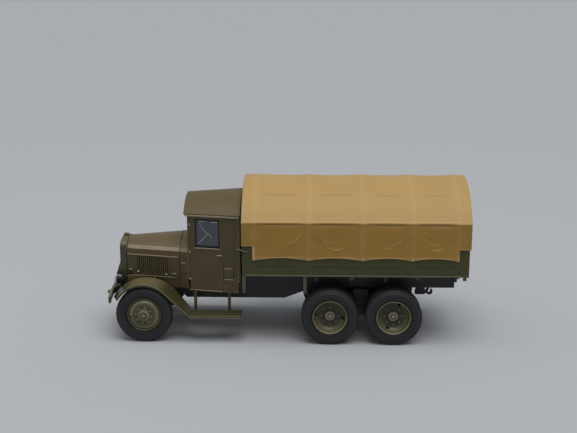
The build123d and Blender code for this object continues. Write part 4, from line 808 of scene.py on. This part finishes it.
def makeWingLips():  # the rolled edge along the outer side of each wing, down to the running board
    look = wingEdge
    places = []
    for k in range(look["steps"] + 1):
        turn = radians(between(look["frontAngle"], look["rearAngle"], k / look["steps"]))
        places.append((look["radius"] * cos(turn), look["middle"] + look["radius"] * sin(turn)))
    places.append(look["foot"])
    bm = bmesh.new()
    for side in bothSides:
        line = [(ahead(back), side * look["out"] * mm, z * mm) for back, z in places]
        addTube(bm, line, look["lip"], look["sides"], look["mark"])
    finishPiece("wing_lips", bm, "wingPaint", "truck", smooth=50)


headlamp = dict(  # the band lists place along the lamp and radius
    front=-14.4, y=13.0, z=26.5, segments=64, mark=0.2, merge=0.001,
    band=(
        (-0.5, 2.76), (-0.44, 2.86), (0.12, 2.9), (0.28, 2.84), (0.33, 2.7), (0.3, 2.5), (0.05, 2.45),
        (-0.5, 2.5),
    ),
)


def makeHeadlampBands():  # the silver band that holds each lens
    look = headlamp
    ring = [(along, radius, look["mark"]) for along, radius in look["band"] + look["band"][:1]]
    bm = bmesh.new()
    for side in bothSides:
        centre = (ahead(look["front"]), side * look["y"] * mm, look["z"] * mm)
        addLathe(bm, ring, centre, (1, 0, 0), look["segments"])
    bmesh.ops.remove_doubles(bm, verts=bm.verts, dist=look["merge"] * mm)
    finishPiece("headlamp_bands", bm, "silverPaint", "truck", smooth=40)


paneMarks = dict(  # scratches on the clear plastic of the door windows, and painted glints of light at the tops of the panes, by station and height
    inset=0.25, sides=8, radius={"pane_scratches": 0.1, "pane_painted_glints": 0.16},
    lines={
        "pane_scratches": (
            ((25.0, 53.6), (26.0, 51.2), (28.3, 48.8)), ((23.9, 43.9), (26.4, 46.2), (28.8, 49.0)),
            ((28.8, 49.0), (30.6, 46.9)),
        ),
        "pane_painted_glints": (((24.8, 54.45), (28.0, 54.3)), ((30.3, 54.05), (33.1, 54.1))),
    },
)


def makePaneMarks():
    look = paneMarks
    for name, lines in look["lines"].items():
        bm = bmesh.new()
        for side in bothSides:
            for line in lines:
                inset = [side * (cabLine(back) - look["inset"]) for back, z in line]
                places = [(ahead(back), y * mm, z * mm) for (back, z), y in zip(line, inset)]
                addTube(bm, places, look["radius"][name], look["sides"])
        finishPiece(name, bm, "silverPaint", "truck", smooth=60)


grille = dict(pitch=0.72, width=0.26, proud=0.22, buried=0.15, inset=0.25, edge=0.05)  # upright slats, in mm


def makeGrille():
    low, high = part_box("radiator_core")
    proud, buried, inset = grille["proud"] * mm, grille["buried"] * mm, grille["inset"] * mm
    bm = bmesh.new()
    count = int((high[1] - low[1]) / mm / grille["pitch"])
    for k in range(count):
        y = (low[1] + high[1]) / 2 + (k - (count - 1) / 2) * grille["pitch"] * mm
        addBar(bm, [
            (x, y + across * grille["width"] / 2 * mm, z)
            for x in (high[0] - buried, high[0] + proud) for across in (-1, 1)
            for z in (low[2] + inset, high[2] - inset)
        ])
    roundEdges(bm, list(bm.edges), grille["edge"], 1)
    finishPiece("radiator_slats", bm, "chassisBlack", "truck")


makeBarTrims()
makeGrille()
makeJointBands()
makePaneMarks()
makeBedLevers()
makeWingLips()
makeHeadlampBands()
print("trims made")


# tyres: a lathed section whose shoulders carry small cross notches

tyre = dict(
    width=4.4, notches=44, notchDepth=0.22, stepsPerNotch=5, notchSteps=2,
    section=(  # share of the width from the outer face, radius, mark; the marks paint shadow in the gap at the rim, a highlight on the shoulder ring and shade just outside it
        (0.115, 8.1, -1.0), (0.075, 8.3, -1.0), (0.045, 8.8, -0.3), (0.015, 9.6, 0.0), (0.0, 10.3, 0.0),
        (0.004, 10.9, 0.0), (0.02, 11.3, 0.35), (0.03, 11.42, 0.5), (0.055, 11.5, 0.1), (0.075, 11.65, -0.4),
        (0.09, 12.1, 0.0), (0.125, 12.5, 0.0), (0.19, 12.74, 0.0), (0.27, 12.8, 0.0), (0.285, 12.68, 0.0),
        (0.315, 12.68, 0.0), (0.33, 12.8, 0.0), (0.47, 12.8, 0.0), (0.48, 12.68, 0.0), (0.5, 12.68, 0.0),
    ),
    notched=(11, 12, 13),  # places in the section that the notches cut into
    single=(25.4,), twin=(27.0, 21.9),  # outer faces
)


def addTyre(bm, x, outer, side):
    wearLightShade = bm.verts.layers.float.get("wearLightShade") or bm.verts.layers.float.new("wearLightShade")
    full = [(*row, place in tyre["notched"]) for place, row in enumerate(tyre["section"])]
    full += [(1 - share, *rest) for share, *rest in reversed(full[:-1])]
    steps = tyre["stepsPerNotch"]
    turns = circle(tyre["notches"] * steps)
    rings = []
    for share, radius, mark, notched in full:
        y = side * (outer - share * tyre["width"]) * mm
        ring = []
        for k, (c, s) in enumerate(turns):
            cut = tyre["notchDepth"] if notched and k % steps < tyre["notchSteps"] else 0.0
            r = (radius - cut) * mm
            ring.append(bm.verts.new((x + r * s, y, axleZ + r * c)))
            ring[-1][wearLightShade] = mark
        rings.append(ring)
    for one, two in zip(rings, rings[1:] + rings[:1]):
        for k in range(len(turns)):
            after = (k + 1) % len(turns)
            bm.faces.new((one[k], one[after], two[after], two[k]))


def makeTyres(name, body, node, outerFaces):
    bm = bmesh.new()
    for outer in outerFaces:
        for side in bothSides:
            addTyre(bm, jointX[body], outer, side)
    finishPiece(name, bm, "tyreRubber", body, smooth=40, replaced=(node,))


makeTyres("front_tyre_pair", "front_axle", "front_tyres", tyre["single"])
makeTyres("middle_tyre_set", "middle_axle", "middle_tyres", tyre["twin"])
makeTyres("rear_tyre_set", "rear_axle", "rear_tyres", tyre["twin"])
print("tyres made")


# wheels: lathed discs with nuts, hub caps and hand holes
# a profile lists y of the left wheel, radius and mark, from the hub's tip round to the back of the hub
# a slot lists its angle, its distance from the hub, half its width and half its length

# marks above 0 paint highlights on the hub's tip and shoulder and on the disc's shoulder, and pale the rim
# lips; marks below 0 paint shade round the hub, in the dish and in the gap at the tyre
frontWheel = dict(
    profile=(
        (26.75, 0.0, 0.9), (26.72, 0.55, 0.8), (26.6, 0.85, 0.2), (26.3, 0.95, -0.9), (26.22, 1.25, -0.3),
        (26.15, 1.75, 0.45), (26.0, 1.95, 0.7), (25.75, 2.05, 0.35), (25.68, 2.3, 0.15), (25.66, 2.65, 0.4),
        (25.56, 2.85, 0.2), (25.44, 2.95, -0.9), (25.42, 3.15, -0.6), (25.41, 4.1, -0.25), (25.4, 4.6, 0.0),
        (25.34, 5.3, 0.05), (25.2, 5.85, 0.45), (24.95, 6.25, 0.5), (24.7, 6.5, 0.2), (24.5, 6.68, -0.1),
        (24.45, 6.85, -0.25), (24.5, 7.0, -0.1), (24.65, 7.12, 0.0), (24.9, 7.25, 0.05), (25.0, 7.36, 0.2),
        (25.0, 7.46, 0.1), (24.95, 7.54, -0.5), (24.8, 7.6, -1.0), (24.5, 7.66, -1.0), (24.45, 8.1, -1.0),
        (21.35, 8.1, -0.5), (21.35, 7.4, 0.0), (22.8, 7.4, 0.0), (22.9, 2.5, 0.0), (22.0, 2.1, 0.0),
        (22.0, 0.75, 0.0),
    ),
    fixings=(dict(count=8, circle=3.55, radius=0.4, height=0.42, face=25.4, turn=10),),
    slots=((180, 6.15, 0.5, 1.3),), slotEnds=(22.0, 28.0), slotSteps=24, segments=96,
    valve=((24.6, 0.22, 0.0), (25.5, 0.22, 0.8), (25.58, 0.12, 1.0), (25.58, 0.0, 1.0)), valveCircle=5.4,
    valveSegments=12,
)
rearWheel = dict(
    profile=(
        (24.95, 0.0, 1.0), (24.93, 0.5, 0.9), (24.82, 0.8, 0.4), (24.5, 0.95, -0.3), (24.45, 1.3, 0.5),
        (24.42, 1.85, 0.75), (24.3, 2.1, 0.6), (23.3, 2.25, -0.6), (23.2, 2.6, -0.95), (23.1, 2.95, -0.8),
        (22.95, 3.05, -0.85), (22.95, 4.7, -0.7), (23.1, 5.1, -0.3), (23.5, 5.8, 0.15), (24.1, 6.45, 0.2),
        (24.9, 6.85, 0.22), (25.6, 7.05, 0.22), (26.2, 7.2, 0.3), (26.55, 7.33, 0.45), (26.74, 7.48, 0.7),
        (26.78, 7.6, 0.65), (26.72, 7.72, 0.2), (26.5, 7.78, -1.0), (26.1, 7.8, -1.0), (26.05, 8.1, -1.0),
        (17.85, 8.1, -0.5), (17.85, 7.4, 0.0), (21.55, 7.4, 0.0), (21.55, 2.5, 0.0), (19.85, 2.1, 0.0),
        (19.85, 0.75, 0.0),
    ),
    fixings=(  # wheel nuts, then the smaller bolts of the hub
        dict(count=8, circle=3.95, radius=0.42, height=0.5, face=22.95, turn=0),
        dict(count=10, circle=1.6, radius=0.2, height=0.2, face=24.4, turn=0),
    ),
    slots=((0, 5.75, 0.8, 0.95), (180, 5.75, 0.8, 0.95)), slotEnds=(21.0, 28.0), slotSteps=24, segments=96,
)
nutShapes = (  # turns round it, then place, radius and mark: a six-sided nut with the stud's round tip on it; the mark paints shade at the nut's foot and highlights on its top edge and the tip
    (6, ((0.0, 1.0, -0.4), (0.8, 1.0, 0.3), (1.0, 0.86, 0.9), (1.0, 0.5, 0.6), (1.0, 0.0, 0.6))),
    (10, ((1.0, 0.5, 0.5), (1.35, 0.48, 0.9), (1.45, 0.34, 1.0), (1.45, 0.0, 1.0))),
)


def addFixings(bm, x, side, ring):
    for k in range(ring["count"]):
        turn = radians(ring["turn"] + 360 * k / ring["count"])
        reach = ring["circle"] * mm
        centre = (x + reach * cos(turn), side * ring["face"] * mm, axleZ + reach * sin(turn))
        for sides, shape in nutShapes:
            profile = [(along * ring["height"], r * ring["radius"], mark) for along, r, mark in shape]
            addLathe(bm, profile, centre, (0, side, 0), sides)


def slotCutter(x, look, slotTurn):  # blocks in the shape of the hand holes; the walls they cut are marked -1, painted shade
    bm = bmesh.new()
    wearLightShade = bm.verts.layers.float.new("wearLightShade")
    for side in bothSides:
        for angle, distance, halfWide, halfLong in look["slots"]:
            turn = radians(angle + slotTurn)
            low, high = [], []
            for c, s in circle(look["slotSteps"]):
                along = distance + halfWide * c
                across = (halfLong - halfWide) * (1 if s > 0 else -1) + halfWide * s
                px = x - (along * cos(turn) - across * sin(turn)) * mm
                pz = axleZ + (along * sin(turn) + across * cos(turn)) * mm
                for ring, y in zip((low, high), look["slotEnds"]):
                    ring.append(bm.verts.new((px, side * y * mm, pz)))
            bm.faces.new(low)
            bm.faces.new(high)
            for k in range(len(low)):
                after = (k + 1) % len(low)
                bm.faces.new((low[k], low[after], high[after], high[k]))
    for vert in bm.verts:
        vert[wearLightShade] = -1.0
    bmesh.ops.recalc_face_normals(bm, faces=bm.faces)
    mesh = bpy.data.meshes.new("slotCutter")
    bm.to_mesh(mesh)
    bm.free()
    cutter = bpy.data.objects.new("slotCutter", mesh)
    bpy.context.scene.collection.objects.link(cutter)
    return cutter


def cutWith(piece, cutter):  # real holes, taken out of the mesh and baked in
    modifier = piece.modifiers.new("holes", "BOOLEAN")
    modifier.operation = "DIFFERENCE"
    modifier.solver = "EXACT"
    modifier.object = cutter
    bpy.context.view_layer.update()
    cut = bpy.data.meshes.new_from_object(piece.evaluated_get(bpy.context.evaluated_depsgraph_get()))
    piece.modifiers.remove(modifier)
    piece.data = cut
    bpy.data.objects.remove(cutter)
    cut.set_sharp_from_angle(angle=radians(smoothAngle))


def makeWheels(name, body, node, look, slotTurn=0.0):
    x = jointX[body]
    discs, nuts = bmesh.new(), bmesh.new()
    for side in bothSides:
        addLathe(discs, look["profile"], (x, 0, axleZ), (0, side, 0), look["segments"])
        for ring in look["fixings"]:
            addFixings(nuts, x, side, ring)
        if "valve" in look:
            place = (x + look["valveCircle"] * mm, 0.0, axleZ)
            addLathe(nuts, look["valve"], place, (0, side, 0), look["valveSegments"])
    piece = finishPiece(name, discs, "wheelPaint", body, replaced=(node,))
    cutWith(piece, slotCutter(x, look, slotTurn))
    finishPiece(name + "_nuts", nuts, "wheelPaint", body)


makeWheels("front_wheel_pair", "front_axle", "front_wheels", frontWheel)
makeWheels("middle_wheel_set", "middle_axle", "middle_wheels", rearWheel, -8)
makeWheels("rear_wheel_set", "rear_axle", "rear_wheels", rearWheel, 66)
print("wheels made")


# canvas tilt: one sheet over five bows, sagging between them, with a crease along each eave

tiltBox = [Vector(corner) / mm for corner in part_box("tilt")]
tiltLook = dict(
    front=jointX["front_axle"] / mm - tiltBox[1].x,  # stations behind the front axle, in mm
    rear=jointX["front_axle"] / mm - tiltBox[0].x,
    half=tiltBox[1].y, hem=tiltBox[0].z, crown=tiltBox[1].z, eave=56.0, skirt=45.9, rearSkirt=44.6, strip=5.0,
    bows=(50.0, 74.0, 97.6, 119.6, 139.4), ridgeWidth=1.1, hemDrop=1.0, hemRise=1.25, hemCurve=0.8,
    thickness=0.42, round=0.7, roundStations=(0.12, 0.35), seamWidth=0.7,
    columns=170, stationGap=0.4, skirtRows=12, sideRows=30, sideCurve=1.2, arcRows=40, arcCurve=1.25,
    foldRows=5, foldShift=0.005,
)
archForms = dict(  # places run from 0 at the eave to 1 at the crown, depths are in mm
    sag=0.42, sagAtEave=0.55, fullFrom=0.25, ridge=0.1, lip=0.5, lipWidth=0.045, lipAtBow=0.35,
    folds=((0.055, 0.15), (0.105, 0.06), (0.413, 0.1), (0.458, 0.28), (0.508, 0.12)),  # place and depth
    foldWidth=0.009, foldBend=0.01, foldAtBow=0.3, rippleAtBow=0.5,
)
sideForms = dict(  # drops run from 0 at the eave to 1 at the hem, depths are in mm
    sag=0.22, ridge=0.07, tuck=0.5, tuckAt=0.025, tuckRise=0.02, tuckFade=0.1, bead=0.14, beadWidth=0.035,
    folds=((0.4, 0.13, 0.36), (0.6, 0.24, 0.42), (0.76, 0.18, 0.36)),  # middle's drop, depth, half length
    foldWidth=0.028, topEnd=0.12, bend=2.6, fade=4, shift=0.12, stretch=0.05, lower=0.1, deepen=0.8,
    leastGrip=0.2, grip=0.8, gripChange=1.5,
)
clothNoise = dict(
    seeds={1: 3.1, -1: 9.7}, ripple=0.12, rippleLength=0.09, rippleHeight=3.0, otherSide=7,
    bayStep=2.3, foldStep=1.7, gripLength=2.6, gripBay=1.9, gripFold=2.2,
)
canvasMarks = dict(  # 1 is pale, at the hem, the front seam and the bows, and painted light in the pale zone and towards the lip; -1 is painted shade
    hem=1.0, bowWidth=1.3, bowOnSide=0.14, bowOnArch=0.22, crescent=0.8, crescentFrom=0.25, crescentCurve=0.6,
    paleZone=0.36, paleRows=9, lip=0.42, lipReach=0.6,
    creases=((0.45, 0.007, 0.32), (0.05, 0.006, 0.2)),  # place on the arch, reach, shade
)
frontPanel = dict(across=24, sag=0.3, wrinkle=0.12, wrinkleScale=(5, 3), seed=4.0)


def bayShare(back):  # share of the way across the bay between two bows
    bows = tiltLook["bows"]
    for left, right in zip(bows, bows[1:]):
        if left <= back <= right:
            return (back - left) / (right - left)
    return 0.0


def bellyAt(back):  # 0 over a bow, 1 halfway between two
    return sin(pi * bayShare(back))


def bell(value, middle, width):
    return exp(-(((value - middle) / width) ** 2))


def hemHeight(back):
    look = tiltLook
    return look["hem"] - look["hemDrop"] + look["hemRise"] * bellyAt(back) ** look["hemCurve"]


def ridgeAt(back, width):
    return sum(bell(back, bow, width) for bow in tiltLook["bows"])


def rippleAt(back, height, side, arch):
    look = clothNoise
    place = Vector((back * look["rippleLength"], height * look["rippleHeight"] + look["seeds"][side], arch))
    return noise.noise(place) * look["ripple"]


def archLift(back, along, side):  # how far the cloth stands out from the plain arch, in mm
    look = archForms
    belly = bellyAt(back)
    fall = min(1.0, along / look["fullFrom"])
    lift = look["ridge"] * ridgeAt(back, tiltLook["ridgeWidth"])
    lift -= look["sag"] * belly * fall * between(look["sagAtEave"], 1.0, along)
    lift += look["lip"] * bell(along, 0.0, look["lipWidth"]) * between(look["lipAtBow"], 1.0, belly)
    for place, depth in look["folds"]:
        fold = bell(along, place - look["foldBend"] * belly, look["foldWidth"])
        lift -= depth * fold * between(look["foldAtBow"], 1.0, belly)
    return lift + rippleAt(back, along, side, 1.0) * fall * (look["rippleAtBow"] + belly)


def sideFold(back, drop, side, number):  # a slack fold that hangs between two bows like a swag
    look, grain = sideForms, clothNoise
    hang, depth, reach = look["folds"][number]
    share, seed = bayShare(back), grain["seeds"][side]
    bay = sum(back > bow for bow in tiltLook["bows"]) + (grain["otherSide"] if side < 0 else 0)
    tone = noise.noise(Vector((bay * grain["bayStep"], number * grain["foldStep"], seed)))
    off = abs(share - 0.5 - look["shift"] * tone) / (reach + look["stretch"] * tone)
    if off >= 1:
        return 0.0
    place = (share * grain["gripLength"], bay * grain["gripBay"], number * grain["gripFold"] + seed)
    grip = max(look["leastGrip"], look["grip"] + look["gripChange"] * noise.noise(Vector(place)))
    lineAt = hang + look["lower"] * tone - (hang - look["topEnd"]) * off ** look["bend"]
    fold = bell(drop, lineAt, look["foldWidth"]) * (1 - off ** look["fade"])
    return depth * grip * (look["deepen"] + tone) * fold


def sideLift(back, along, side):  # along runs from 0 at the hem to 1 at the eave
    look = sideForms
    belly = bellyAt(back)
    drop = 1 - along
    under = drop - look["tuckAt"]
    tucked = bell(drop, look["tuckAt"], look["tuckRise"]) if under < 0 else exp(-under / look["tuckFade"])
    lift = look["ridge"] * ridgeAt(back, tiltLook["ridgeWidth"])
    lift -= look["sag"] * belly * sin(pi * along) + look["tuck"] * tucked * belly
    lift += sum(sideFold(back, drop, side, number) for number in range(len(look["folds"])))
    lift += look["bead"] * bell(drop, 1.0, look["beadWidth"])
    return lift + rippleAt(back, along, side, 0.0)


def archPoint(along, side, lift):
    half, eave, crown = tiltLook["half"], tiltLook["eave"], tiltLook["crown"]
    radius = (half * half + (crown - eave) ** 2) / (2 * (crown - eave))
    turn = asin(half / radius) * (1 - along)
    return side * (radius + lift) * sin(turn), crown - radius + (radius + lift) * cos(turn)


def clothStations():  # one column of points each, with extra ones at the strips and the rounded front
    look = tiltLook
    step = (look["rear"] - look["front"]) / look["columns"]
    keep = [look["front"] + look["strip"], look["rear"] - look["strip"]]
    keep += [look["front"] + place for place in look["roundStations"]]
    even = [look["front"] + k * step for k in range(look["columns"] + 1)]
    return sorted([s for s in even if all(abs(s - k) > step * look["stationGap"] for k in keep)] + keep)


def archPlaces():  # rows over the arch, closer near the eave and at the folds
    look = tiltLook
    places = {(k / look["arcRows"]) ** look["arcCurve"] for k in range(1, look["arcRows"] + 1)}
    around = [archForms["foldWidth"] * (k - look["foldRows"] // 2) for k in range(look["foldRows"])]
    places |= {fold - look["foldShift"] + step for fold, depth in archForms["folds"] for step in around}
    return sorted(places)


def clothColumn(back, arcRows):  # points of one section, from the left hem over the crown to the right hem
    look = tiltLook
    bottom = hemHeight(back)
    skirt = between(look["skirt"], look["rearSkirt"], (back - look["front"]) / (look["rear"] - look["front"]))
    heights = [between(bottom, skirt, k / look["skirtRows"]) for k in range(look["skirtRows"])]
    shares = [1 - (1 - k / look["sideRows"]) ** look["sideCurve"] for k in range(look["sideRows"] + 1)]
    heights += [between(skirt, look["eave"], share) for share in shares]
    inset = 0.0
    left = look["round"] - (back - look["front"])
    if left > 0:
        inset = look["round"] - sqrt(look["round"] ** 2 - left ** 2)
    halves = []
    for side in bothSides:
        line = []
        for z in heights:
            along = (z - look["hem"]) / (look["eave"] - look["hem"])
            line.append((side * (look["half"] + sideLift(back, along, side) - inset), z))
        for along in arcRows:
            line.append(archPoint(along, side, archLift(back, along, side) - inset))
        halves.append(line)
    return halves[0] + list(reversed(halves[1][:-1]))


def canvasMark(middle, row, inStrip, arcRows):  # row counts from the hem upwards
    look, marks = tiltLook, canvasMarks
    eaveRow = look["skirtRows"] + look["sideRows"]
    hemmed = row == 0 or (inStrip and row == look["skirtRows"])
    past = middle - look["front"] - look["strip"]
    seam = 0 < past < look["seamWidth"] and row < look["skirtRows"]
    overBow = min(1.0, ridgeAt(middle, marks["bowWidth"]))
    mark = marks["hem"] if hemmed or seam else overBow * marks["bowOnSide" if row < eaveRow else "bowOnArch"]
    belly = bellyAt(middle)
    under = eaveRow - 1 - row
    if under in (0, 1):  # the shaded crescent under the lip
        return -marks["crescent"] * max(0.0, belly - marks["crescentFrom"]) ** marks["crescentCurve"]
    # painted light: a paler zone below the crescent, strongest in the middle of each bay
    if 1 < under < marks["paleRows"]:
        return max(mark, marks["paleZone"] * belly * (1 - under / marks["paleRows"]))
    if under < 0:
        along = arcRows[-under - 1]
        mark += marks["lip"] * max(0.0, 1 - along / marks["lipReach"])  # painted light: paler towards the lip
        mark -= sum(shade * belly for place, reach, shade in marks["creases"] if abs(along - place) < reach)
    return mark


def closeFront(bm, loop):  # a panel between the two halves of the front edge, sagging a little
    look = frontPanel
    previous = None
    for k in range(len(loop) // 2 + 1):
        left, right = loop[k], loop[-1 - k]
        line = [left]
        if left is not right:
            for share in (j / look["across"] for j in range(1, look["across"])):
                place = left.co.lerp(right.co, share)
                hang = (place.z / mm - tiltLook["skirt"]) / (tiltLook["crown"] - tiltLook["skirt"])
                spot = Vector((share * look["wrinkleScale"][0], hang * look["wrinkleScale"][1], look["seed"]))
                sag = look["sag"] * sin(pi * share) * sin(pi * min(1.0, hang))
                place.x -= (sag + look["wrinkle"] * noise.noise(spot)) * sqrt(sin(pi * share)) * mm
                line.append(bm.verts.new(place))
            line.append(right)
        if previous:
            for j in range(look["across"]):
                a, b = previous[j], previous[j + 1]
                bm.faces.new((a, b, line[j + 1], line[j]) if len(line) > 1 else (a, b, line[0]))
        previous = line


def makeTilt():
    look = tiltLook
    stations, arcRows = clothStations(), archPlaces()
    bm = bmesh.new()
    columns = []
    for back in stations:
        section = clothColumn(back, arcRows)
        columns.append([bm.verts.new((ahead(back), y * mm, z * mm)) for y, z in section])
    last = len(columns[0]) - 2
    wearLightShade = bm.faces.layers.float.new("wearLightShade")
    for k, (one, two) in enumerate(zip(columns, columns[1:])):
        middle = (stations[k] + stations[k + 1]) / 2
        inStrip = middle < look["front"] + look["strip"] or middle > look["rear"] - look["strip"]
        for j in range(last + 1):
            row = min(j, last - j)
            if inStrip and row < look["skirtRows"]:
                continue
            face = bm.faces.new((one[j], one[j + 1], two[j + 1], two[j]))
            face[wearLightShade] = canvasMark(middle, row, inStrip, arcRows)
    closeFront(bm, columns[0][look["skirtRows"]:-look["skirtRows"]])
    bmesh.ops.delete(bm, geom=[v for v in bm.verts if not v.link_faces], context="VERTS")
    bmesh.ops.recalc_face_normals(bm, faces=bm.faces)
    if max(bm.faces, key=lambda face: face.calc_center_median().z).normal.z < 0:
        bmesh.ops.reverse_faces(bm, faces=bm.faces)
    mesh = bpy.data.meshes.new("tilt_canvas")
    bm.to_mesh(mesh)
    bm.free()
    for polygon in mesh.polygons:
        polygon.use_smooth = True
    mesh.materials.append(finishes["tiltCanvas"])
    piece = bpy.data.objects.new("tilt_canvas", mesh)
    bpy.context.scene.collection.objects.link(piece)
    thick = piece.modifiers.new("cloth", "SOLIDIFY")
    thick.thickness = look["thickness"] * mm
    thick.offset = -1.0
    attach(piece, "truck")
    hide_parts("tilt")


rivet = dict(
    dome=((0.0, 0.5, 0.5), (0.12, 0.48, 0.8), (0.24, 0.36, 1.0), (0.32, 0.2, 1.0), (0.35, 0.0, 1.0)),
    aboveHem=0.75, proud=0.02, segments=20,
)


def makeRivets():  # the studs that hold the hem at each bow
    bm = bmesh.new()
    height = tiltLook["hem"] - tiltLook["hemDrop"] + rivet["aboveHem"]
    for back in tiltLook["bows"]:
        for side in bothSides:
            place = (ahead(back), side * (tiltLook["half"] + rivet["proud"]) * mm, height * mm)
            addLathe(bm, rivet["dome"], place, (0, side, 0), rivet["segments"])
    finishPiece("tilt_rivets", bm, "tiltCanvas", "truck")


makeTilt()
makeRivets()
print("tilt made")
